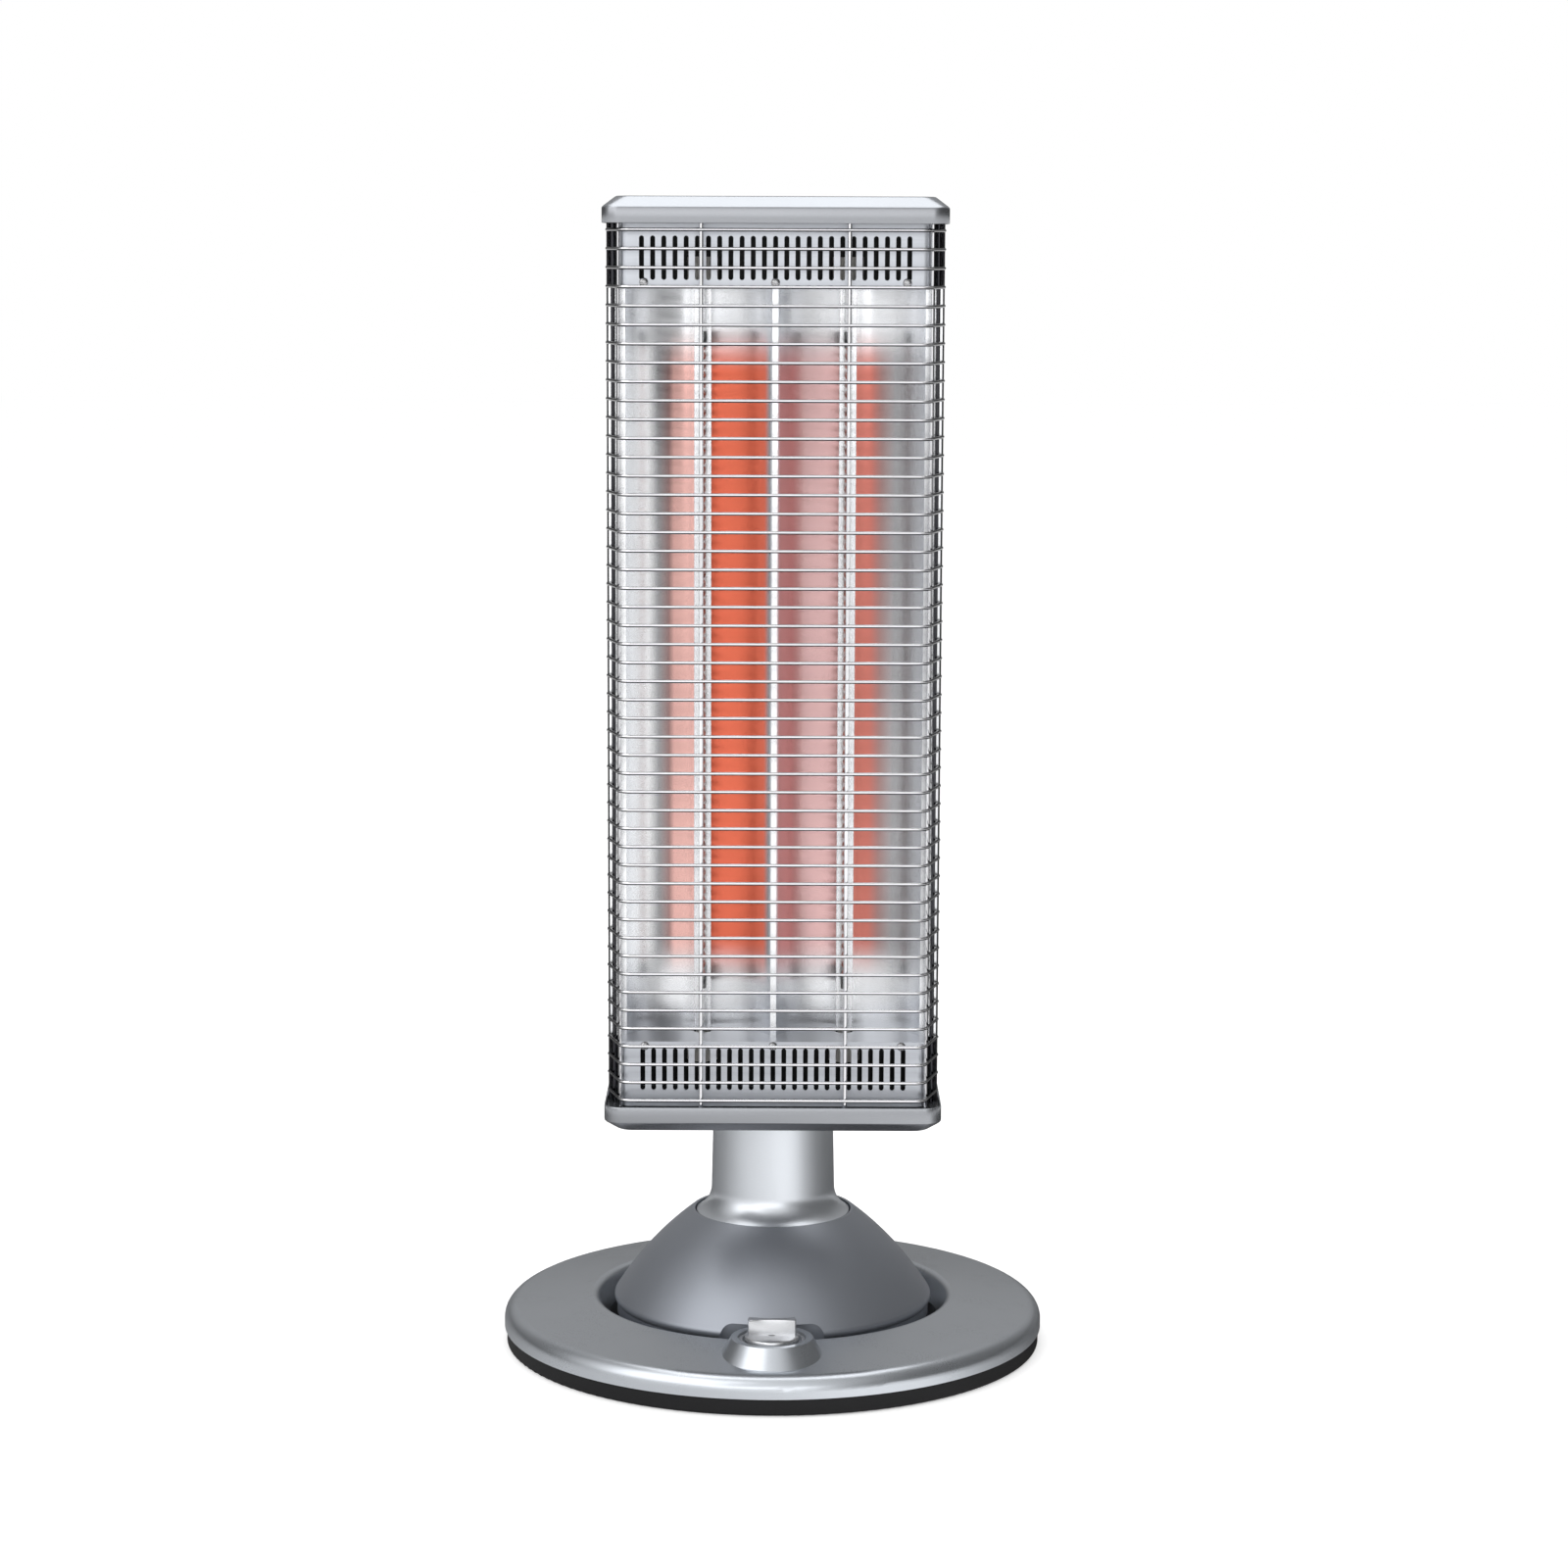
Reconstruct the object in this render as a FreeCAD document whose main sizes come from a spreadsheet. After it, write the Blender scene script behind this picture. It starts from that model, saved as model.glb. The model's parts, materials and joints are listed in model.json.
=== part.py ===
import FreeCAD, Part
import math
import os
import Sketcher

# Carbon heater. Millimetres, +Z up, the front looks along -Y, the origin is
# on the floor under the middle of the round base.

SIZES = {
    # feet and base tray
    "foot_height": 2.0,
    "foot_radius": 8.0,
    "foot_inset": 22.0,
    "foot_count": 5,
    "pan_floor": 2.2,
    "pan_wall": 2.2,
    "pan_inset": 4.0,
    "pan_bend": 2.8,
    "pan_edge_inset": 1.4,
    "pan_edge_width": 3.5,
    "pan_edge_low": 0.5,
    "pan_edge_round": 1.5,
    "pan_rim_height": 13.0,
    # base cover
    "base_radius": 165.0,
    "cover_wall": 2.5,
    "skirt_height": 10.8,
    "edge_height": 23.2,
    "edge_round": 9.0,
    "rim_width": 57.0,
    "well_edge_height": 30.0,
    "well_edge_round": 4.0,
    "well_slope_run": 6.0,
    "well_slope_low": 14.0,
    "post_radius": 5.0,
    "post_inset": 37.0,
    "post_turn": 18.0,
    "post_count": 5,
    "screw_radius": 1.7,
    "screw_head_radius": 3.2,
    "screw_head_height": 1.6,
    "screw_length": 10.0,
    # control boss and knob
    "knob_inset": 40.0,
    "boss_radius": 30.5,
    "boss_top_radius": 24.0,
    "boss_shoulder": 25.0,
    "boss_height": 36.5,
    "dish_radius": 20.0,
    "dish_depth": 3.0,
    "bezel_width": 2.6,
    "bezel_height": 1.8,
    "knob_radius": 16.0,
    "knob_disc_height": 4.0,
    "grip_length": 27.0,
    "grip_width": 9.0,
    "grip_waist": 3.6,
    "grip_height": 9.5,
    "grip_end_round": 15.5,
    "spindle_radius": 3.0,
    "spindle_length": 16.0,
    "switch_side": 26.0,
    "switch_height": 13.0,
    "switch_collar": 4.5,
    # ballast, terminals and cord inlet
    "ballast_width": 34.0,
    "ballast_inset": 13.0,
    "ballast_height": 8.0,
    "ballast_angle": 240.0,
    "terminal_length": 40.0,
    "terminal_width": 18.0,
    "terminal_height": 12.0,
    "terminal_inset": 47.5,
    "terminal_y": 30.0,
    "gland_height": 6.6,
    "gland_radius": 3.2,
    "gland_flange": 3.9,
    "gland_bore": 2.4,
    "gland_length": 6.0,
    # tip-over switch
    "tip_inset": 28.0,
    "plunger_radius": 4.0,
    "plunger_collar": 7.4,
    "plunger_travel": 6.0,
    "collar_height": 1.5,
    "tip_housing_side": 20.0,
    "tip_housing_wall": 1.5,
    "tip_housing_height": 17.0,
    # tilt bracket and dome frame
    "tilt_depth": 34.0,
    "axle_radius": 4.0,
    "axle_half": 54.0,
    "bracket_half": 50.0,
    "bracket_sheet": 2.5,
    "bracket_width": 34.0,
    "bracket_head": 9.0,
    "ear_half": 45.0,
    "ear_width": 30.0,
    "frame_sheet": 2.5,
    "frame_radius": 47.4,
    "mouth_depth": 8.0,
    "washer_radius": 10.0,
    "nut_radius": 7.5,
    # dome
    "well_gap": 8.0,
    "dome_rim_height": 18.0,
    "shoulder_share": 0.925,
    "shoulder_depth": 46.0,
    "dome_rim_round": 34.0,
    "dome_side_round": 190.0,
    "dome_top_radius": 49.6,
    "dome_top_height": 82.0,
    "dome_wall": 2.5,
    "dome_lip": 1.8,
    "flange_inner": 34.0,
    "notch_half": 31.0,
    "notch_drop": 2.0,
    "notch_round": 8.0,
    "notch_depth": 36.0,
    "dome_screw_circle": 42.0,
    # swing drive
    "spindle_tube": 11.0,
    "spindle_bore": 8.5,
    "spindle_flange": 40.0,
    "spindle_flange_sheet": 2.5,
    "bush_wall": 2.5,
    "bush_flange": 20.0,
    "bush_flange_height": 3.7,
    "arm_depth": 14.0,
    "arm_sheet": 2.5,
    "arm_width": 17.0,
    "motor_share": 0.3,
    "motor_clear": 7.0,
    "motor_height": 14.0,
    "motor_depth": 22.0,
    "motor_ear_reach": 10.0,
    "motor_ear_inset": 8.0,
    "crank_rim": 4.0,
    "throw_share": 0.7,
    "crank_pin": 3.0,
    "crank_shaft": 3.0,
    "pin_clearance": 1.2,
    "crank_gap": 1.8,
    "arm_gap": 0.9,
    # column
    "ring_inset": 2.9,
    "ring_recess": 2.3,
    "ring_lip": 1.6,
    "flare_height": 17.3,
    "flare_round": 17.7,
    "neck_radius": 37.6,
    "column_top_radius": 30.0,
    "crown_start": 14.6,
    "crown_end": 36.6,
    "column_crown": 33.0,
    "column_wall": 2.5,
    "tube_radius": 16.0,
    "tube_wall": 2.0,
    "tube_reach": 20.6,
    # head pivot
    "pivot_height": 425.4,
    "pivot_shaft_radius": 10.0,
    "pivot_shaft_wall": 2.5,
    "sleeve_radius": 15.0,
    "pivot_boss": 26.0,
    "pivot_gap": 3.0,
    "stop_sheet": 1.5,
    "stop_radius": 25.0,
    "stop_circle": 20.0,
    "stop_pin": 2.0,
    "pivot_plate_side": 100.0,
    "pivot_plate_sheet": 2.0,
    "case_hole": 24.0,
    # head
    "head_length": 540.0,
    "head_back": 40.0,
    "head_front": 115.0,
    "cap_width": 197.0,
    "cap_wall": 1.2,
    "cap_height": 15.3,
    "cap_bevel_height": 6.0,
    "cap_bevel": 8.0,
    "cap_corner": 10.0,
    "case_depth": 40.0,
    "case_sheet": 0.8,
    "case_corner": 12.0,
    "case_overlap": 3.0,
    "vent_row_length": 44.0,
    "vent_row_width": 4.0,
    "vent_row_pitch": 9.0,
    "vent_row_count": 7,
    "vent_row_x": 46.0,
    "vent_row_inset": 110.0,
    # reflector
    "trough_margin": 12.2,
    "ridge_half": 1.7,
    "trough_depth": 27.92,
    "reflector_sheet": 0.8,
    "reflector_lip": 10.0,
    # slotted end covers
    "cover_height": 35.8,
    "cover_inset": 9.5,
    "cover_recess": 17.0,
    "cover_depth": 30.0,
    "cover_bend": 5.0,
    "cover_sheet": 1.0,
    "slot_count": 25,
    "slot_margin": 12.8,
    "slot_width": 2.8,
    "slot_length": 25.0,
    "slot_inset": 19.4,
    "cover_screw_edge": 14.0,
    "cover_screw_inset": 33.2,
    "cover_screw_radius": 2.6,
    # wire guard
    "wire": 2.0,
    "wire_count": 48,
    "wire_inset": 3.6,
    "guard_recess": 3.5,
    "guard_gap": 0.6,
    "guard_front_inset": 10.5,
    "guard_rear_inset": 1.9,
    "guard_corner": 5.0,
    "upright": 2.4,
    "side_upright_near": 0.12,
    "side_upright_far": 0.55,
    # heating tubes
    "tube_shift": 2.0,
    "tube_recess": 14.0,
    "quartz_radius": 5.0,
    "quartz_wall": 1.0,
    "tube_hole_gap": 0.6,
    "socket_radius": 9.0,
    "socket_length": 16.0,
    "socket_depth": 9.0,
    "element_inset": 86.0,
    "element_width": 2.8,
    "element_sheet": 0.8,
    "clamp_radius": 2.2,
    "clamp_length": 9.0,
    "lead_radius": 0.9,
    "cutout_radius": 8.0,
    "cutout_height": 7.6,
    "cutout_x": 34.0,
    # fits
    "running_gap": 0.05,
    "seat_gap": 0.02,
    "free_gap": 0.3,
}


class Size:
    """A size with its number and the sheet expression that drives it."""

    def __init__(self, number, text):
        self.number = float(number)
        self.text = text

    def __add__(self, other):
        other = as_size(other)
        return Size(self.number + other.number, f"({self.text} + {other.text})")

    def __sub__(self, other):
        other = as_size(other)
        return Size(self.number - other.number, f"({self.text} - {other.text})")

    def __mul__(self, other):
        other = as_size(other)
        return Size(self.number * other.number, f"({self.text} * {other.text})")

    def __truediv__(self, other):
        other = as_size(other)
        return Size(self.number / other.number, f"({self.text} / {other.text})")

    def __neg__(self):
        return Size(-self.number, f"(0 - {self.text})")


def as_size(value):
    return value if isinstance(value, Size) else Size(value, repr(float(value)))


def root(value):
    return Size(math.sqrt(value.number), f"sqrt({value.text})")


def around(radius, degrees):
    """Point on a circle about the Z axis."""
    degrees = as_size(degrees)
    angle = math.radians(degrees.number)
    return (radius * Size(math.cos(angle), f"cos({degrees.text})"),
            radius * Size(math.sin(angle), f"sin({degrees.text})"))


class Sizes:
    """The sheet's cells by name, as Size values."""

    def __init__(self, sheet, table):
        for row, (alias, number) in enumerate(table.items(), start=1):
            sheet.set(f"A{row}", alias)
            sheet.set(f"B{row}", str(number))
            sheet.setAlias(f"B{row}", alias)
            setattr(self, alias, Size(number, f"{sheet.Name}.{alias}"))


doc = FreeCAD.newDocument("carbon_heater")
size = Sizes(doc.addObject("Spreadsheet::Sheet", "sizes"), SIZES)
doc.recompute()
ZERO = as_size(0)
subparts = []

# Sizes that follow from the ones in the sheet: first the round base, the dome and the column
size.pan_radius = size.base_radius - size.pan_inset
size.pan_edge_radius = size.base_radius - size.pan_edge_inset
size.foot_circle = size.base_radius - size.foot_inset
size.well_radius = size.base_radius - size.rim_width
size.post_circle = size.base_radius - size.post_inset
size.knob_offset = size.base_radius - size.knob_inset
size.ballast_outer = size.base_radius - size.ballast_inset
size.ballast_inner = size.ballast_outer - size.ballast_width
size.terminal_x = size.well_radius - size.terminal_inset
size.dome_rim_radius = size.well_radius - size.well_gap
size.well_low_radius = size.well_radius - size.well_slope_run
size.dome_shoulder_radius = size.dome_rim_radius * size.shoulder_share
size.dome_shoulder_height = size.dome_top_height - size.shoulder_depth
size.notch_top = size.boss_height - size.notch_drop
size.notch_back = size.knob_offset - size.notch_depth
size.tip_y = size.dome_rim_radius - size.tip_inset
size.frame_top = size.dome_top_height - size.mouth_depth
size.tilt_height = size.frame_top - size.tilt_depth
size.arm_height = size.frame_top - size.arm_depth
size.motor_low = size.arm_height - size.motor_depth
size.motor_offset = size.dome_rim_radius * size.motor_share
size.motor_radius = size.motor_offset - size.motor_clear
size.motor_ear_half = size.motor_radius + size.motor_ear_reach
size.motor_ear_y = size.motor_offset - size.motor_ear_inset
size.crank_throw = size.motor_offset * size.throw_share
size.crank_radius = size.crank_throw + size.crank_rim
size.ring_radius = size.dome_top_radius - size.ring_inset
size.ring_height = size.dome_top_height - size.ring_recess
size.flare_top = size.ring_height + size.flare_height
size.column_shoulder = size.pivot_height + size.crown_start
size.column_top = size.pivot_height + size.crown_end
size.tube_top = size.pivot_height + size.tube_reach

# then the head
size.reflector_front = size.head_back + size.case_depth
size.trough_half = (size.cap_width / 2 - size.trough_margin - size.ridge_half) / 2
size.trough_offset = size.trough_half + size.ridge_half
size.trough_round = (size.trough_half * size.trough_half / size.trough_depth + size.trough_depth) / 2
size.cover_half = size.cap_width / 2 - size.cover_inset
size.cover_front = size.head_front - size.cover_recess
size.cover_back = size.reflector_front - size.cover_depth
size.slot_pitch = (size.cover_half - size.slot_margin) * 2 / (size.slot_count - 1)
size.cover_screw_x = size.cover_half - size.cover_screw_edge
size.guard_front = size.head_front - size.guard_recess
size.guard_rear = size.reflector_front + size.guard_gap
size.guard_front_half = size.cap_width / 2 - size.guard_front_inset
size.guard_rear_half = size.cap_width / 2 - size.guard_rear_inset
size.tube_x = size.trough_offset - size.tube_shift
size.upright_x = size.tube_x
size.tube_y = size.reflector_front - size.tube_recess
size.element_length = size.head_length - size.element_inset * 2
size.vent_row_z = size.head_length / 2 - size.vent_row_inset


def bind(item, prop, value):
    item.setExpression(prop, as_size(value).text)


def finish(item, label):
    item.Label = label
    subparts.append(item)
    return item


# Sketch helpers

def new_body(name):
    return doc.addObject("PartDesign::Body", f"{name}_body")


def origin_feature(body, role):
    return next(f for f in body.Origin.OriginFeatures if f.Role == role)


def new_sketch(body, plane, offset=ZERO):
    sketch = body.newObject("Sketcher::SketchObject", f"{body.Name}_sketch")
    sketch.AttachmentSupport = [(origin_feature(body, plane), "")]
    sketch.MapMode = "FlatFace"
    bind(sketch, "AttachmentOffset.Base.z", offset)
    return sketch


def hold(sketch, kind, geometry, position, value):
    """Ties one coordinate of a sketch point to the sheet."""
    value = as_size(value)
    if abs(value.number) < 1e-9:
        axis = -2 if kind == "DistanceX" else -1
        sketch.addConstraint(Sketcher.Constraint("PointOnObject", geometry, position, axis))
        return
    ends = (-1, 1, geometry, position) if value.number > 0 else (geometry, position, -1, 1)
    index = sketch.addConstraint(Sketcher.Constraint(kind, *ends, abs(value.number)))
    bind(sketch, f"Constraints[{index}]", value if value.number > 0 else -value)


def pin(sketch, geometry, position, x, y):
    hold(sketch, "DistanceX", geometry, position, x)
    hold(sketch, "DistanceY", geometry, position, y)


def arc_between(start, end, radius, turn):
    """Arc from start to end that curves left (turn 1) or right (turn -1), under a half circle."""
    chord = end - start
    middle = (start + end) * 0.5
    reach = math.sqrt(max(radius ** 2 - (chord.Length / 2) ** 2, 0))
    side = FreeCAD.Vector(-chord.y, chord.x, 0).normalize()
    centre = middle + side * (reach * turn)
    angles = [math.atan2(p.y - centre.y, p.x - centre.x) for p in (start, end)]
    if turn < 0:
        angles.reverse()
    return Part.ArcOfCircle(Part.Circle(centre, FreeCAD.Vector(0, 0, 1), radius), *angles)


def draw(sketch, corners, closed=True):
    """Lines and arcs through corners (x, y) or (x, y, radius, turn), where the radius and turn
    belong to the arc from that corner to the next."""
    points = [FreeCAD.Vector(as_size(c[0]).number, as_size(c[1]).number, 0) for c in corners]
    first = sketch.GeometryCount
    count = len(corners) if closed else len(corners) - 1
    ends = []
    for i in range(count):
        start, end = points[i], points[(i + 1) % len(points)]
        if len(corners[i]) == 4:
            radius, turn = corners[i][2:]
            sketch.addGeometry(arc_between(start, end, as_size(radius).number, turn), False)
            ends.append((1, 2) if turn > 0 else (2, 1))
        else:
            sketch.addGeometry(Part.LineSegment(start, end), False)
            ends.append((1, 2))
    for i in range(count if closed else count - 1):
        j = (i + 1) % count
        joint = (first + i, ends[i][1], first + j, ends[j][0])
        sketch.addConstraint(Sketcher.Constraint("Coincident", *joint))
    for i in range(count):
        pin(sketch, first + i, ends[i][0], corners[i][0], corners[i][1])
        if len(corners[i]) == 4:
            radius = as_size(corners[i][2])
            index = sketch.addConstraint(Sketcher.Constraint("Radius", first + i, radius.number))
            bind(sketch, f"Constraints[{index}]", radius)
    if not closed:
        pin(sketch, first + count - 1, ends[-1][1], corners[-1][0], corners[-1][1])
    return sketch


def ring(sketch, x, y, radius):
    x, y, radius = as_size(x), as_size(y), as_size(radius)
    centre = FreeCAD.Vector(x.number, y.number, 0)
    circle = Part.Circle(centre, FreeCAD.Vector(0, 0, 1), radius.number)
    geometry = sketch.addGeometry(circle, False)
    pin(sketch, geometry, 3, x, y)
    index = sketch.addConstraint(Sketcher.Constraint("Radius", geometry, radius.number))
    bind(sketch, f"Constraints[{index}]", radius)
    return sketch


def rectangle(sketch, left, low, right, high):
    return draw(sketch, [(left, low), (right, low), (right, high), (left, high)])


def rounded_rectangle(sketch, left, low, right, high, radius):
    return draw(sketch, [
        (left + radius, low),
        (right - radius, low, radius, 1),
        (right, low + radius),
        (right, high - radius, radius, 1),
        (right - radius, high),
        (left + radius, high, radius, 1),
        (left, high - radius),
        (left, low + radius, radius, 1),
    ])


# Feature helpers

def pad(body, sketch, length, reverse=False, middle=False):
    feature = body.newObject("PartDesign::Pad", f"{body.Name}_pad")
    feature.Profile = sketch
    feature.Reversed = reverse
    if middle:
        feature.SideType = "Symmetric"
    bind(feature, "Length", length)
    doc.recompute()
    return feature


def pocket(body, sketch, length, reverse=False, middle=False):
    before = body.Shape.Volume
    feature = body.newObject("PartDesign::Pocket", f"{body.Name}_pocket")
    feature.Profile = sketch
    feature.Reversed = reverse
    if middle:
        feature.SideType = "Symmetric"
    bind(feature, "Length", length)
    doc.recompute()
    if body.Shape.Volume >= before:
        raise ValueError(f"{feature.Name} cuts nothing")
    return feature


def revolve(body, sketch, axis="V_Axis", angle=360):
    feature = body.newObject("PartDesign::Revolution", f"{body.Name}_revolution")
    feature.Profile = sketch
    feature.ReferenceAxis = (sketch, [axis])
    feature.Midplane = True
    bind(feature, "Angle", angle)
    doc.recompute()
    return feature


def polar(body, feature, count):
    pattern = body.newObject("PartDesign::PolarPattern", f"{body.Name}_polar")
    pattern.Originals = [feature]
    pattern.Axis = (origin_feature(body, "Z_Axis"), [""])
    pattern.Angle = 360
    bind(pattern, "Occurrences", count)
    body.Tip = pattern
    doc.recompute()
    return pattern


def row(body, features, axis, length, count):
    pattern = body.newObject("PartDesign::LinearPattern", f"{body.Name}_row")
    pattern.Originals = features
    pattern.Direction = (origin_feature(body, axis), [""])
    bind(pattern, "Length", length)
    bind(pattern, "Occurrences", count)
    body.Tip = pattern
    doc.recompute()
    return pattern


def mirror(body, features, plane):
    copy = body.newObject("PartDesign::Mirrored", f"{body.Name}_mirror")
    copy.Originals = features
    copy.MirrorPlane = (origin_feature(body, plane), [""])
    body.Tip = copy
    doc.recompute()
    return copy


# Primitive helpers

def place(item, x, y, z):
    for axis, value in zip("xyz", (x, y, z)):
        bind(item, f"Placement.Base.{axis}", value)
    return item


def cylinder(name, radius, height, x, y, z, axis=(0, 0, 1)):
    item = doc.addObject("Part::Cylinder", name)
    bind(item, "Radius", radius)
    bind(item, "Height", height)
    turn = FreeCAD.Rotation(FreeCAD.Vector(0, 0, 1), FreeCAD.Vector(*axis))
    item.Placement = FreeCAD.Placement(FreeCAD.Vector(), turn)
    return place(item, x, y, z)


def box(name, length, width, height, x, y, z):
    """A box about (x, y), standing on z."""
    item = doc.addObject("Part::Box", name)
    bind(item, "Length", length)
    bind(item, "Width", width)
    bind(item, "Height", height)
    return place(item, x - as_size(length) / 2, y - as_size(width) / 2, z)


def cut(name, base, tool):
    item = doc.addObject("Part::Cut", name)
    item.Base = base
    item.Tool = tool
    return item


def fuse(name, items):
    item = doc.addObject("Part::MultiFuse", name)
    item.Shapes = items
    return item


def group(name, items):
    """Separate solids that share one node."""
    item = doc.addObject("Part::Compound", name)
    item.Links = items
    return item


def tube(name, outer, inner, height, x, y, z, axis=(0, 0, 1)):
    wall = cylinder(f"{name}_wall", outer, height, x, y, z, axis)
    bore = cylinder(f"{name}_bore", inner, height, x, y, z, axis)
    return cut(name, wall, bore)


FRONT = (0, -1, 0)
SIDE = (1, 0, 0)
DOWN = (0, 0, -1)

# Levels and planes that several pieces share
pan_top = size.foot_height + size.pan_floor
cover_low = pan_top + size.free_gap
boss_y = -size.knob_offset
dish_floor = size.boss_height - size.dish_depth
dish_under = dish_floor - size.cover_wall
frame_low = size.frame_top - size.frame_sheet
thrust_top = size.frame_top + size.bush_flange_height
flange_low = thrust_top + size.free_gap
flange_top = flange_low + size.spindle_flange_sheet
arm_top = size.arm_height + size.arm_sheet
motor_top = size.motor_low + size.motor_height
crank_low = motor_top + size.crank_gap
crank_top = size.arm_height - size.arm_gap
cap_mouth = size.head_length / 2 - size.cap_height
case_half = size.cap_width / 2 - size.cap_wall - size.free_gap
case_half_length = cap_mouth + size.case_overlap
case_inside = size.head_back + size.case_sheet
cover_inner_edge = cap_mouth - size.cover_height
sleeve_end = size.head_back - size.pivot_gap
column_floor = flange_top


# Base

def base_pan():
    body = new_body("base_pan")
    low = size.foot_height
    outer = size.pan_radius
    inner = outer - size.pan_wall
    bend = size.pan_bend
    # the edge reaches below the floor and stops under the skirt of the cover
    edge = size.pan_edge_radius
    edge_low = size.pan_edge_low
    edge_top = size.skirt_height - size.free_gap
    corner = size.pan_edge_round
    outline = [
        (0, low),
        (edge - size.pan_edge_width, low),
        (edge - size.pan_edge_width, edge_low),
        (edge - corner, edge_low, corner, 1),
        (edge, edge_low + corner),
        (edge, edge_top),
        (outer, edge_top),
        (outer, size.pan_rim_height),
        (inner, size.pan_rim_height),
        (inner, pan_top + bend, bend, -1),
        (inner - bend, pan_top),
        (0, pan_top),
    ]
    revolve(body, draw(new_sketch(body, "XZ_Plane"), outline))
    x, y = around(size.post_circle, size.post_turn)
    hole = ring(new_sketch(body, "XY_Plane"), x, y, size.screw_radius + size.free_gap)
    holes = pocket(body, hole, size.pan_rim_height, reverse=True)
    polar(body, holes, size.post_count)
    hole = ring(new_sketch(body, "XY_Plane"), 0, size.tip_y, size.plunger_radius + size.free_gap)
    pocket(body, hole, size.pan_rim_height, reverse=True)
    hole = ring(new_sketch(body, "XZ_Plane"), 0, size.gland_height, size.gland_radius + size.seat_gap)
    pocket(body, hole, size.base_radius)
    finish(body, "base_pan")


def base_cover():
    body = new_body("base_cover")
    outer = size.base_radius
    wall = size.cover_wall
    well = size.well_radius
    top = size.well_edge_height
    edge = size.edge_height
    run = outer - well
    drop = top - edge
    slant = root(run * run + drop * drop)
    along = run / slant
    down = drop / slant
    outer_cut = (as_size(1) - down) / along
    # the side of the well leans outwards and rounds over into the top
    low_well = size.well_low_radius
    slope_low = size.well_slope_low
    lean_run = well - low_well
    lean_rise = top - slope_low
    lean = root(lean_run * lean_run + lean_rise * lean_rise)
    lean_x = lean_run / lean
    lean_z = lean_rise / lean
    turn = lean_x * along - lean_z * down
    well_cut = size.well_edge_round * root((as_size(1) - turn) / (as_size(1) + turn))
    bend = size.edge_round
    inner_bend = bend - wall
    rim = outer - wall
    outline = [
        (low_well, cover_low),
        (low_well, slope_low),
        (well - well_cut * lean_x, top - well_cut * lean_z, size.well_edge_round, -1),
        (well + well_cut * along, top - well_cut * down),
        (outer - bend * outer_cut * along, edge + bend * outer_cut * down, bend, -1),
        (outer, edge - bend * outer_cut),
        (outer, size.skirt_height),
        (rim, size.skirt_height),
        (rim, edge - wall - inner_bend * outer_cut, inner_bend, 1),
        (rim - inner_bend * outer_cut * along, edge - wall + inner_bend * outer_cut * down),
        (well + wall, top - wall),
        (low_well + wall, slope_low),
        (low_well + wall, cover_low),
    ]
    revolve(body, draw(new_sketch(body, "XZ_Plane"), outline))
    # conical boss of the control: walls, inner room and dish
    shoulder = size.boss_shoulder
    outline = [
        (0, cover_low),
        (size.boss_radius, cover_low),
        (size.boss_radius, shoulder),
        (size.boss_top_radius, size.boss_height),
        (size.dish_radius, size.boss_height),
        (size.dish_radius, dish_floor),
        (0, dish_floor),
    ]
    boss_turn(body, outline, additive=True)
    outline = [
        (0, cover_low),
        (size.boss_radius - wall, cover_low),
        (size.boss_radius - wall, shoulder),
        (size.dish_radius, dish_under),
        (0, dish_under),
    ]
    boss_turn(body, outline, additive=False)
    collar = size.switch_collar + size.seat_gap
    hole = ring(new_sketch(body, "XY_Plane", dish_under), 0, boss_y, collar)
    pocket(body, hole, size.cover_wall, reverse=True)
    x, y = around(size.post_circle, size.post_turn)
    under = top - wall - drop / run * (size.post_circle + size.post_radius - well - wall)
    post = ring(new_sketch(body, "XY_Plane", pan_top), x, y, size.post_radius)
    ring(post, x, y, size.screw_radius)
    polar(body, pad(body, post, under - pan_top + wall / 2), size.post_count)
    finish(body, "base_cover")


def boss_turn(body, outline, additive):
    """Turns an outline about the control's axis."""
    sketch = new_sketch(body, "YZ_Plane")
    draw(sketch, [(x + boss_y, y) for x, y in [(as_size(p[0]), p[1]) for p in outline]])
    axis = Part.LineSegment(FreeCAD.Vector(boss_y.number, 0, 0),
                            FreeCAD.Vector(boss_y.number, size.boss_height.number, 0))
    line = sketch.addGeometry(axis, True)
    pin(sketch, line, 1, boss_y, 0)
    pin(sketch, line, 2, boss_y, size.boss_height)
    kind = "Revolution" if additive else "Groove"
    before = body.Shape.Volume
    feature = body.newObject(f"PartDesign::{kind}", f"{body.Name}_boss")
    feature.Profile = sketch
    feature.ReferenceAxis = (sketch, ["Axis0"])
    feature.Angle = 360
    doc.recompute()
    if not additive and body.Shape.Volume >= before:
        raise ValueError(f"{feature.Name} cuts nothing")
    return feature


def rubber_feet():
    body = new_body("rubber_feet")
    sketch = ring(new_sketch(body, "XY_Plane"), 0, size.foot_circle, size.foot_radius)
    polar(body, pad(body, sketch, size.foot_height), size.foot_count)
    finish(body, "rubber_feet")


def base_screws():
    body = new_body("base_screws")
    x, y = around(size.post_circle, size.post_turn)
    top = size.foot_height
    head = ring(new_sketch(body, "XY_Plane", top), x, y, size.screw_head_radius)
    shank = ring(new_sketch(body, "XY_Plane", top), x, y, size.screw_radius - size.seat_gap)
    heads = pad(body, head, size.screw_head_height, reverse=True)
    shanks = pad(body, shank, size.screw_length)
    pattern = polar(body, heads, size.post_count)
    pattern.Originals = [heads, shanks]
    finish(body, "base_screws")


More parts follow.
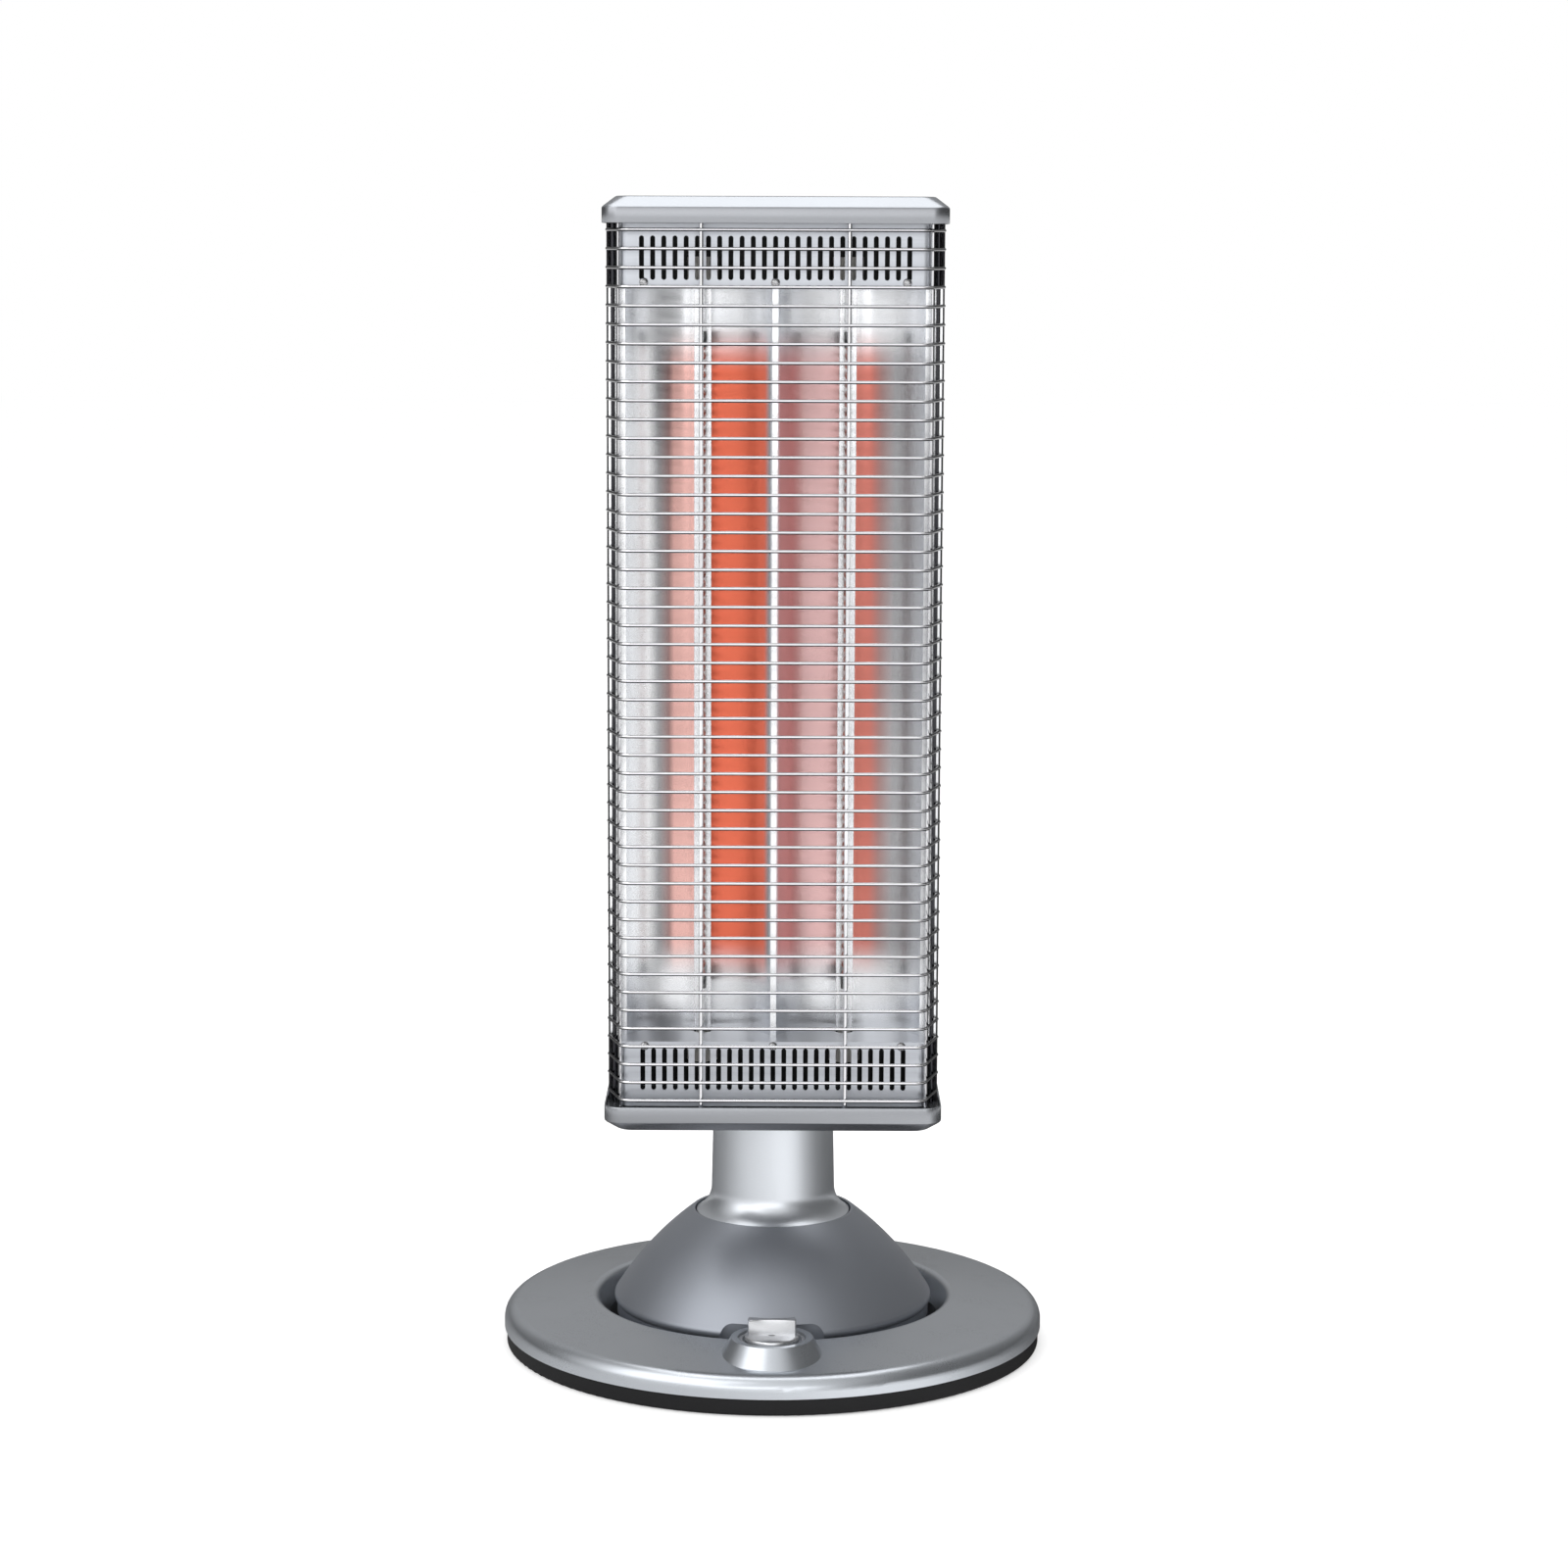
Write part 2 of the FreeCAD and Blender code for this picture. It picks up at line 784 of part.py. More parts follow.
def ballast_ring():
    body = new_body("ballast_ring")
    sketch = rectangle(new_sketch(body, "YZ_Plane"), size.ballast_inner, pan_top,
                       size.ballast_outer, pan_top + size.ballast_height)
    revolve(body, sketch, angle=size.ballast_angle)
    x, y = around(size.post_circle, size.post_turn)
    hole = ring(new_sketch(body, "XY_Plane", pan_top), x, y, size.post_radius + size.free_gap)
    hole = pocket(body, hole, size.ballast_height, reverse=True)
    polar(body, hole, size.post_count)
    finish(body, "ballast_ring")


def control():
    floor = dish_floor
    bezel = tube("dial_bezel_ring", size.dish_radius - size.free_gap,
                 size.dish_radius - size.bezel_width, size.bezel_height, ZERO, boss_y, floor)
    finish(bezel, "dial_bezel")

    body = new_body("control_knob")
    low = floor + size.free_gap
    disc = ring(new_sketch(body, "XY_Plane", low), 0, boss_y, size.knob_radius)
    pad(body, disc, size.knob_disc_height)
    half = size.grip_length / 2
    wide = size.grip_width / 2
    waist = size.grip_waist / 2
    bow = (half * half + (wide - waist) * (wide - waist)) / (wide - waist) / 2
    end = size.grip_end_round
    outline = [
        (-half, boss_y - wide, bow, -1),
        (half, boss_y - wide, end, 1),
        (half, boss_y + wide, bow, -1),
        (-half, boss_y + wide, end, 1),
    ]
    grip = draw(new_sketch(body, "XY_Plane", low + size.knob_disc_height), outline)
    pad(body, grip, size.grip_height)
    bore_depth = size.knob_disc_height
    bore = ring(new_sketch(body, "XY_Plane", low), 0, boss_y, size.spindle_radius + size.seat_gap)
    pocket(body, bore, bore_depth, reverse=True)
    finish(body, "control_knob")

    top = low + bore_depth
    spindle = cylinder("knob_spindle_rod", size.spindle_radius, size.spindle_length,
                       ZERO, boss_y, top - size.spindle_length)
    finish(spindle, "knob_spindle")

    body = new_body("rotary_switch")
    half = size.switch_side / 2
    case = rectangle(new_sketch(body, "XY_Plane", dish_under), -half, boss_y - half, half, boss_y + half)
    pad(body, case, size.switch_height, reverse=True)
    collar = ring(new_sketch(body, "XY_Plane", dish_under), 0, boss_y, size.switch_collar)
    pad(body, collar, size.cover_wall)
    bore = size.spindle_radius + size.running_gap
    hole = ring(new_sketch(body, "XY_Plane", floor), 0, boss_y, bore)
    pocket(body, hole, size.spindle_length)
    finish(body, "rotary_switch")


def terminals_and_inlet():
    block = box("terminal_block_body", size.terminal_length, size.terminal_width,
                size.terminal_height, -size.terminal_x, size.terminal_y, pan_top)
    wells = [
        cylinder(f"terminal_well_{i}", size.terminal_length / 12, size.terminal_height / 2,
                 size.terminal_length * (i / 4) - size.terminal_x, size.terminal_y,
                 pan_top + size.terminal_height / 2)
        for i in (-1, 0, 1)
    ]
    finish(cut("terminal_block_cut", block, group("terminal_wells", wells)), "terminal_block")

    body = new_body("cord_gland")
    outside = size.pan_edge_radius
    stem = ring(new_sketch(body, "XZ_Plane", -outside), 0, size.gland_height, size.gland_radius)
    pad(body, stem, size.gland_length)
    flange = ring(new_sketch(body, "XZ_Plane", -outside), 0, size.gland_height, size.gland_flange)
    pad(body, flange, size.pan_wall / 2, reverse=True)
    inside = outside - size.gland_length * 2
    bore = ring(new_sketch(body, "XZ_Plane", -inside), 0, size.gland_height, size.gland_bore)
    pocket(body, bore, size.gland_length * 3)
    finish(body, "cord_gland")


def tip_switch():
    wall = size.tip_housing_wall
    side = size.tip_housing_side
    height = size.tip_housing_height
    room = size.plunger_collar + size.free_gap
    shell = box("tip_shell", side, side, height, ZERO, size.tip_y, pan_top)
    hollow = cylinder("tip_room", room, height - wall * 2, ZERO, size.tip_y, pan_top + wall)
    guide = cylinder("tip_guide", size.plunger_radius + size.running_gap, wall * 2,
                     ZERO, size.tip_y, pan_top - wall / 2)
    finish(cut("tip_housing_cut", shell, group("tip_hollows", [hollow, guide])), "tip_switch_housing")

    collar_low = pan_top + wall + size.plunger_travel + size.free_gap
    rod = cylinder("plunger_rod", size.plunger_radius, collar_low, ZERO, size.tip_y, ZERO)
    collar = cylinder("plunger_collar_disc", size.plunger_collar, size.collar_height,
                      ZERO, size.tip_y, collar_low)
    finish(fuse("plunger_fuse", [rod, collar]), "tip_plunger")

    spring_low = collar_low + size.collar_height
    roof = pan_top + height - wall
    spring = tube("spring_sleeve", size.plunger_collar - wall / 2, size.plunger_radius + wall / 2,
                  roof - spring_low, ZERO, size.tip_y, spring_low)
    finish(spring, "tip_spring")


def tilt_bracket():
    body = new_body("tilt_bracket")
    half = size.bracket_half
    sheet = size.bracket_sheet
    wide = size.bracket_width / 2
    foot = rectangle(new_sketch(body, "XY_Plane", pan_top), -half, -wide, half, wide)
    pad(body, foot, sheet)
    cheek = cheek_outline(body, half, wide, pan_top, size.bracket_head)
    cheeks = pad(body, cheek, sheet, reverse=True)
    mirror(body, [cheeks], "YZ_Plane")
    bore = ring(new_sketch(body, "YZ_Plane"), 0, size.tilt_height, size.axle_radius + size.running_gap)
    pocket(body, bore, half * 2, middle=True)
    finish(body, "tilt_bracket")


def cheek_outline(body, offset, wide, far, head):
    """A cheek with a round head about the tilt axle, on the plane at x = offset."""
    axle = size.tilt_height
    corners = [
        (-wide, far),
        (wide, far),
        (head, axle, head, 1),
        (0, axle + head, head, 1),
        (-head, axle),
    ]
    if far.number > axle.number:
        corners = [
            (wide, far),
            (-wide, far),
            (-head, axle, head, 1),
            (0, axle - head, head, 1),
            (head, axle),
        ]
    return draw(new_sketch(body, "YZ_Plane", offset), corners)


# Dome

def dome_outline(inset):
    """Half section of the dome, moved inwards by the inset."""
    rim = size.dome_rim_radius - inset
    top = size.dome_top_radius - inset
    return [
        (0, size.dome_rim_height),
        (rim, size.dome_rim_height, size.dome_rim_round - inset, 1),
        (size.dome_shoulder_radius - inset, size.dome_shoulder_height, size.dome_side_round - inset, 1),
        (top, size.dome_top_height - inset),
        (0, size.dome_top_height - inset),
    ]


def dome_form(name, inset, margin):
    """Solid dome less the alcove around the control; the margin is the alcove's wall."""
    body = new_body(name)
    revolve(body, draw(new_sketch(body, "XZ_Plane"), dome_outline(inset)))
    half = size.notch_half + margin
    top = size.notch_top + margin
    arch = size.notch_round + margin
    outline = [
        (-half, 0),
        (half, 0),
        (half, top - arch, arch, 1),
        (half - arch, top),
        (-(half - arch), top, arch, 1),
        (-half, top - arch),
    ]
    alcove = draw(new_sketch(body, "XZ_Plane", size.notch_back - margin), outline)
    pocket(body, alcove, size.base_radius, reverse=True)
    return body


def dome_shell():
    outer = dome_form("dome_outer", ZERO, ZERO)
    inner = dome_form("dome_inner", size.dome_wall, size.dome_wall)
    shell = cut("dome_hollow", outer, inner)
    mouth_radius = size.dome_top_radius - size.dome_lip
    mouth = cylinder("dome_mouth", mouth_radius, size.dome_top_height, ZERO, ZERO, size.frame_top)
    collar = tube("dome_collar", size.dome_top_radius, mouth_radius, size.mouth_depth,
                  ZERO, ZERO, size.frame_top)
    flange = tube("dome_flange", size.dome_top_radius, size.flange_inner, size.dome_wall,
                  ZERO, ZERO, size.frame_top)
    shell = fuse("dome_whole", [cut("dome_open", shell, mouth), flange, collar])
    holes = [
        cylinder(f"dome_screw_hole_{i}", size.screw_radius + size.free_gap, size.dome_top_height,
                 *around(size.dome_screw_circle, 45 + 90 * i), size.arm_height)
        for i in range(4)
    ]
    finish(cut("dome_shell_cut", shell, group("dome_screw_holes", holes)), "dome_shell")


def dome_frame():
    body = new_body("dome_frame")
    half = size.ear_half
    sheet = size.frame_sheet
    wide = size.ear_width / 2
    plate = ring(new_sketch(body, "XY_Plane", frame_low), 0, 0, size.frame_radius)
    pad(body, plate, sheet)
    head = size.bracket_head + sheet
    ears = pad(body, cheek_outline(body, half, wide, frame_low + sheet / 2, head), sheet, reverse=True)
    mirror(body, [ears], "YZ_Plane")
    bore = ring(new_sketch(body, "YZ_Plane"), 0, size.tilt_height, size.axle_radius + size.seat_gap)
    pocket(body, bore, half * 2, middle=True)
    seat = ring(new_sketch(body, "XY_Plane", frame_low), 0, 0, size.spindle_tube + size.bush_wall)
    pocket(body, seat, sheet, reverse=True)
    hole = ring(new_sketch(body, "XY_Plane", frame_low), *around(size.dome_screw_circle, 45),
                size.screw_radius)
    polar(body, pocket(body, hole, sheet, reverse=True), as_size(4))
    finish(body, "dome_frame")


def tilt_pivot():
    half = size.axle_half
    axle = cylinder("axle_rod", size.axle_radius, half * 2, -half, ZERO, size.tilt_height, SIDE)
    finish(axle, "tilt_axle")
    bore = size.axle_radius + size.seat_gap
    gap = size.bracket_half - size.bracket_sheet - size.ear_half
    thick = gap - size.free_gap
    washers = [
        tube(f"washer_{name}", size.washer_radius, bore, thick, x, ZERO, size.tilt_height, SIDE)
        for name, x in (("right", size.ear_half), ("left", -(size.ear_half + thick)))
    ]
    finish(group("washer_pair", washers), "friction_washers")
    start = size.bracket_half + size.free_gap
    nut = size.axle_half - start
    nuts = [
        tube(f"nut_{name}", size.nut_radius, bore, nut, x, ZERO, size.tilt_height, SIDE)
        for name, x in (("right", start), ("left", -size.axle_half))
    ]
    finish(group("nut_pair", nuts), "tilt_nuts")


def dome_screws():
    top = size.frame_top + size.dome_wall
    screws = []
    for i in range(4):
        x, y = around(size.dome_screw_circle, 45 + 90 * i)
        head = cylinder(f"dome_head_{i}", size.screw_head_radius, size.screw_head_height / 2, x, y, top)
        low = frame_low - size.frame_sheet
        shank = cylinder(f"dome_shank_{i}", size.screw_radius - size.seat_gap, top - low, x, y, low)
        screws.append(fuse(f"dome_screw_{i}", [head, shank]))
    finish(group("dome_screw_group", screws), "dome_screws")


# Swing drive

def swing_drive():
    bore = size.spindle_tube + size.running_gap
    bush = tube("bush_sleeve", size.spindle_tube + size.bush_wall, bore,
                size.frame_sheet, ZERO, ZERO, frame_low)
    collar = tube("bush_collar", size.bush_flange, bore,
                  size.bush_flange_height, ZERO, ZERO, size.frame_top)
    finish(fuse("bush_fuse", [bush, collar]), "swing_bush")

    body = new_body("swing_spindle")
    outline = [
        (size.spindle_bore, size.arm_height),
        (size.spindle_tube, size.arm_height),
        (size.spindle_tube, flange_low),
        (size.spindle_flange, flange_low),
        (size.spindle_flange, flange_top),
        (size.spindle_bore, flange_top),
    ]
    revolve(body, draw(new_sketch(body, "XZ_Plane"), outline))
    finish(body, "swing_spindle")

    clip = tube("clip_ring", size.bush_flange, size.spindle_tube + size.seat_gap,
                size.frame_sheet / 2, ZERO, ZERO, frame_low - size.free_gap - size.frame_sheet / 2)
    finish(clip, "spindle_clip")

    body = new_body("swing_arm")
    wide = size.arm_width / 2
    slot = size.crank_pin + size.pin_clearance
    near = root(size.motor_offset * size.motor_offset + size.crank_throw * size.crank_throw) - slot
    far = size.motor_offset + size.crank_throw + size.free_gap
    outline = [
        (wide, 0),
        (wide, far, wide, 1),
        (0, far + wide, wide, 1),
        (-wide, far),
        (-wide, 0, wide, 1),
        (0, -wide, wide, 1),
    ]
    hub = size.spindle_tube + size.bush_wall * 2
    pad(body, draw(new_sketch(body, "XY_Plane", size.arm_height), outline), size.arm_sheet)
    pad(body, ring(new_sketch(body, "XY_Plane", size.arm_height), 0, 0, hub), size.arm_sheet)
    bore = ring(new_sketch(body, "XY_Plane", size.arm_height), 0, 0, size.spindle_tube + size.seat_gap)
    pocket(body, bore, size.arm_sheet, reverse=True)
    outline = [
        (slot, near),
        (slot, far, slot, 1),
        (0, far + slot, slot, 1),
        (-slot, far),
        (-slot, near, slot, 1),
        (0, near - slot, slot, 1),
    ]
    pocket(body, draw(new_sketch(body, "XY_Plane", size.arm_height), outline), size.arm_sheet, reverse=True)
    finish(body, "swing_arm")

    body = new_body("swing_motor")
    case = ring(new_sketch(body, "XY_Plane", size.motor_low), 0, size.motor_offset, size.motor_radius)
    pad(body, case, size.motor_height)
    ears = rounded_rectangle(
        new_sketch(body, "XY_Plane", motor_top - size.frame_sheet / 2),
        -(size.motor_ear_half + size.post_radius), size.motor_ear_y - size.post_radius,
        size.motor_ear_half + size.post_radius, size.motor_ear_y + size.post_radius,
        size.post_radius - size.free_gap)
    pad(body, ears, size.frame_sheet / 2)
    bore = size.crank_shaft + size.running_gap
    hole = ring(new_sketch(body, "XY_Plane", motor_top), 0, size.motor_offset, bore)
    pocket(body, hole, size.motor_height / 2)
    finish(body, "swing_motor")

    posts = [
        cylinder(f"motor_post_{name}", size.post_radius / 2, frame_low - motor_top,
                 x, size.motor_ear_y, motor_top)
        for name, x in (("right", size.motor_ear_half), ("left", -size.motor_ear_half))
    ]
    finish(group("motor_post_pair", posts), "motor_posts")

    body = new_body("swing_crank")
    centre = size.motor_offset
    disc = ring(new_sketch(body, "XY_Plane", crank_low), 0, centre, size.crank_radius)
    pad(body, disc, crank_top - crank_low)
    shaft = ring(new_sketch(body, "XY_Plane", crank_low), 0, centre, size.crank_shaft)
    pad(body, shaft, crank_low - motor_top + size.motor_height / 2 - size.free_gap, reverse=True)
    pin_sketch = ring(new_sketch(body, "XY_Plane", crank_top), 0, centre + size.crank_throw, size.crank_pin)
    pad(body, pin_sketch, arm_top - crank_top + size.arm_sheet / 2)
    finish(body, "swing_crank")


# Column

def column_outline(inset):
    """Half section of the column above its floor, moved inwards by the inset."""
    low = size.ring_height + size.ring_lip
    return [
        (size.ring_radius - inset, low, size.flare_round + inset, -1),
        (size.neck_radius - inset, size.flare_top),
        (size.column_top_radius - inset, size.column_shoulder, size.column_crown - inset, 1),
        (0, size.column_top - inset),
    ]


def column_shells():
    outer = new_body("column_outer")
    outline = [(0, size.ring_height), (size.ring_radius, size.ring_height)] + column_outline(ZERO)
    revolve(outer, draw(new_sketch(outer, "YZ_Plane"), outline))
    boss = ring(new_sketch(outer, "XZ_Plane"), 0, size.pivot_height, size.pivot_boss)
    pad(outer, boss, sleeve_end)
    inner = new_body("column_inner")
    wall = size.column_wall
    floor = column_floor + wall
    outline = [(0, floor), (size.neck_radius - wall, floor)] + column_outline(wall)[1:]
    revolve(inner, draw(new_sketch(inner, "YZ_Plane"), outline))
    recess = cylinder("column_recess", size.spindle_flange + size.free_gap,
                      column_floor - size.ring_height, ZERO, ZERO, size.ring_height)
    passage = cylinder("column_passage", size.tube_radius + size.free_gap,
                       wall * 2, ZERO, ZERO, column_floor - wall / 2)
    opening = cylinder("column_opening", size.sleeve_radius + size.free_gap,
                       size.head_back, ZERO, ZERO, size.pivot_height, FRONT)
    hollow = fuse("column_hollow", [inner, recess, passage, opening])
    shell = cut("column_shell", outer, hollow)
    reach = size.ring_radius * 2
    for label, middle in (("column_front", -(reach / 2)), ("column_rear", reach / 2)):
        half = doc.addObject("Part::Common", f"{label}_half")
        half.Base = shell
        half.Tool = box(f"{label}_side", reach, reach, size.column_top + wall, ZERO, middle, ZERO)
        finish(half, label)


def column_tube():
    body = new_body("column_tube")
    inner = size.tube_radius - size.tube_wall
    wall = ring(new_sketch(body, "XY_Plane", flange_top), 0, 0, size.tube_radius)
    pad(body, wall, size.tube_top - flange_top)
    sleeve = ring(new_sketch(body, "XZ_Plane"), 0, size.pivot_height, size.sleeve_radius)
    pad(body, sleeve, sleeve_end)
    bore = ring(new_sketch(body, "XY_Plane", flange_top), 0, 0, inner)
    pocket(body, bore, size.tube_top - flange_top, reverse=True)
    inside = new_sketch(body, "XZ_Plane", size.tube_wall * 2)
    ring(inside, 0, size.pivot_height, size.sleeve_radius)
    pad(body, inside, inner - size.tube_wall)
    bore = size.pivot_shaft_radius
    hole = ring(new_sketch(body, "XZ_Plane"), 0, size.pivot_height, bore)
    pocket(body, hole, size.head_back, reverse=True)
    finish(body, "column_tube")


def stop_plate():
    """Plate with a quarter-turn slot for the head's stop pin."""
    body = new_body("stop_plate")
    height = size.pivot_height
    plate = ring(new_sketch(body, "XZ_Plane", sleeve_end), 0, height, size.stop_radius)
    ring(plate, 0, height, size.sleeve_radius + size.free_gap)
    pad(body, plate, size.stop_sheet)
    wide = size.stop_pin + size.free_gap
    near = size.stop_circle - wide
    far = size.stop_circle + wide
    outline = [
        (-wide, height + far),
        (-wide, height + near),
        (0, height + near, near, -1),
        (near, height),
        (near, height - wide),
        (far, height - wide),
        (far, height, far, 1),
        (0, height + far),
    ]
    slot = draw(new_sketch(body, "XZ_Plane", sleeve_end), outline)
    pocket(body, slot, size.stop_sheet, reverse=True)
    finish(body, "stop_plate")


# Head

def rear_case():
    body = new_body("rear_case")
    back = -size.head_back
    front = -size.reflector_front
    half = case_half
    sheet = size.case_sheet
    corner = size.case_corner
    bend = corner - sheet
    outline = [
        (-half, front),
        (-(half - sheet), front),
        (-(half - sheet), back - corner, bend, -1),
        (-(half - corner), back - sheet),
        (half - corner, back - sheet, bend, -1),
        (half - sheet, back - corner),
        (half - sheet, front),
        (half, front),
        (half, back - corner, corner, 1),
        (half - corner, back),
        (-(half - corner), back, corner, 1),
        (-half, back - corner),
    ]
    low = size.pivot_height - case_half_length
    pad(body, draw(new_sketch(body, "XY_Plane", low), outline), case_half_length * 2)
    hole = ring(new_sketch(body, "XZ_Plane"), 0, size.pivot_height, size.case_hole)
    pocket(body, hole, case_inside, reverse=True)
    # rear vents: rows of level slots above and below the pivot
    for start in (size.pivot_height + size.vent_row_z,
                  size.pivot_height - size.vent_row_z - size.vent_row_pitch * (size.vent_row_count - 1)):
        sketch = new_sketch(body, "XZ_Plane")
        for middle in (-size.vent_row_x, size.vent_row_x):
            slot_outline(sketch, middle, start, size.vent_row_length, size.vent_row_width)
        vent = pocket(body, sketch, case_inside, reverse=True)
        row(body, [vent], "Z_Axis", size.vent_row_pitch * (size.vent_row_count - 1), size.vent_row_count)
    finish(body, "rear_case")


def slot_outline(sketch, x, y, length, width):
    """A level slot with bevelled ends."""
    half = length / 2
    wide = width / 2
    bevel = wide / 2
    draw(sketch, [
        (x - half, y - bevel),
        (x - half + bevel, y - wide),
        (x + half - bevel, y - wide),
        (x + half, y - bevel),
        (x + half, y + bevel),
        (x + half - bevel, y + wide),
        (x - half + bevel, y + wide),
        (x - half, y + bevel),
    ])


def pivot():
    body = new_body("pivot_plate")
    half = size.pivot_plate_side / 2
    height = size.pivot_height
    inner = size.pivot_shaft_radius - size.pivot_shaft_wall
    plate = rounded_rectangle(new_sketch(body, "XZ_Plane", case_inside), -half, height - half,
                              half, height + half, size.cap_corner)
    ring(plate, 0, height, inner)
    pad(body, plate, size.pivot_plate_sheet)
    stop = ring(new_sketch(body, "XZ_Plane", case_inside), 0, height + size.stop_circle, size.stop_pin)
    pad(body, stop, case_inside - sleeve_end - size.free_gap, reverse=True)
    finish(body, "pivot_plate")

    start = size.tube_wall
    outer = size.pivot_shaft_radius - size.running_gap
    shaft = tube("shaft_tube", outer, inner, case_inside - start, ZERO, -start, height, FRONT)
    finish(shaft, "pivot_shaft")
    bore = outer + size.seat_gap
    washer_start = sleeve_end + size.free_gap
    washer = tube("thrust_ring", size.sleeve_radius - size.free_gap, bore, case_inside - washer_start,
                  ZERO, -washer_start, height, FRONT)
    finish(washer, "thrust_washer")
    clip_end = size.tube_wall * 2 - size.free_gap
    clip_thick = size.tube_wall / 2
    clip = tube("pivot_clip_ring", size.pivot_shaft_radius + size.tube_wall, bore, clip_thick,
                ZERO, -(clip_end - clip_thick), height, FRONT)
    finish(clip, "pivot_clip")
    plate_front = case_inside + size.pivot_plate_sheet
    sensor = cylinder("cutout_can", size.cutout_radius, size.cutout_height,
                      size.cutout_x, -plate_front, height + size.cutout_x, FRONT)
    finish(sensor, "thermal_cutout")


def reflector():
    """Bent sheet with two troughs, a flat ridge between them and a lip along each side."""
    body = new_body("reflector")
    front = -size.reflector_front
    sheet = size.reflector_sheet
    back = front + sheet
    half = size.trough_half
    bend = size.trough_round
    sag = root(bend * bend - half * half)
    rear_bend = bend + sheet
    rear_half = root(rear_bend * rear_bend - (sag + sheet) * (sag + sheet))
    middle = size.trough_offset
    side = case_half - size.case_sheet - size.free_gap
    lip = front + size.reflector_lip
    outline = [
        (-side, front),
        (-(middle + half), front, bend, -1),
        (-(middle - half), front),
        (middle - half, front, bend, -1),
        (middle + half, front),
        (side, front),
        (side, lip),
        (side - sheet, lip),
        (side - sheet, back),
        (middle + rear_half, back, rear_bend, 1),
        (middle - rear_half, back),
        (-(middle - rear_half), back, rear_bend, 1),
        (-(middle + rear_half), back),
        (-(side - sheet), back),
        (-(side - sheet), lip),
        (-side, lip),
    ]
    low = size.pivot_height - cover_inner_edge
    pad(body, draw(new_sketch(body, "XY_Plane", low), outline), cover_inner_edge * 2)
    finish(body, "reflector")


def vent_cover(label, sign):
    """Slotted cover over the tube ends: bent front and sides with a shelf that meets the reflector."""
    body = new_body(label)
    half = size.cover_half
    front = -size.cover_front
    back = -size.reflector_front
    sheet = size.cover_sheet
    corner = size.cover_bend
    bend = corner - sheet
    outline = [
        (-half, back),
        (-half, front + corner, corner, 1),
        (-(half - corner), front),
        (half - corner, front, corner, 1),
        (half, front + corner),
        (half, back),
        (half - sheet, back),
        (half - sheet, front + corner, bend, -1),
        (half - corner, front + sheet),
        (-(half - corner), front + sheet, bend, -1),
        (-(half - sheet), front + corner),
        (-(half - sheet), back),
    ]
    inner = size.pivot_height + cover_inner_edge * sign
    length = size.cover_height + size.case_overlap - size.free_gap
    pad(body, draw(new_sketch(body, "XY_Plane", inner), outline), length, reverse=sign < 0)
    deep = -size.cover_back
    shelf = rectangle(new_sketch(body, "XY_Plane", inner), -(half - sheet), front + corner,
                      half - sheet, deep)
    pad(body, shelf, sheet, reverse=sign < 0)
    lip = rectangle(new_sketch(body, "XY_Plane", inner), -(half - corner), front + sheet / 2,
                    half - corner, front + corner)
    pad(body, lip, sheet, reverse=sign < 0)
    holes = new_sketch(body, "XY_Plane", inner)
    for x in (-size.tube_x, size.tube_x):
        ring(holes, x, -size.tube_y, size.quartz_radius + size.tube_hole_gap)
    pocket(body, holes, sheet, reverse=sign > 0)
    middle = size.pivot_height + (cap_mouth - size.slot_inset) * sign
    first = -(size.slot_pitch * (size.slot_count - 1) / 2)
    wide = size.slot_width / 2
    tall = size.slot_length / 2
    bevel = wide / 2
    outline = [
        (first - bevel, middle - tall),
        (first + bevel, middle - tall),
        (first + wide, middle - tall + bevel),
        (first + wide, middle + tall - bevel),
        (first + bevel, middle + tall),
        (first - bevel, middle + tall),
        (first - wide, middle + tall - bevel),
        (first - wide, middle - tall + bevel),
    ]
    slot = draw(new_sketch(body, "XZ_Plane", size.cover_front - sheet), outline)
    slot = pocket(body, slot, sheet, reverse=True)
    row(body, [slot], "X_Axis", size.slot_pitch * (size.slot_count - 1), size.slot_count)
    finish(body, label)


def vent_screws():
    screws = []
    for end, sign in (("upper", 1), ("lower", -1)):
        z = size.pivot_height + (cap_mouth - size.cover_screw_inset) * sign
        for side, x in (("left", -size.cover_screw_x), ("middle", ZERO), ("right", size.cover_screw_x)):
            screws.append(cylinder(f"{end}_{side}_screw", size.cover_screw_radius, size.screw_head_height,
                                   x, -size.cover_front, z, FRONT))
    finish(group("vent_screw_group", screws), "vent_screws")


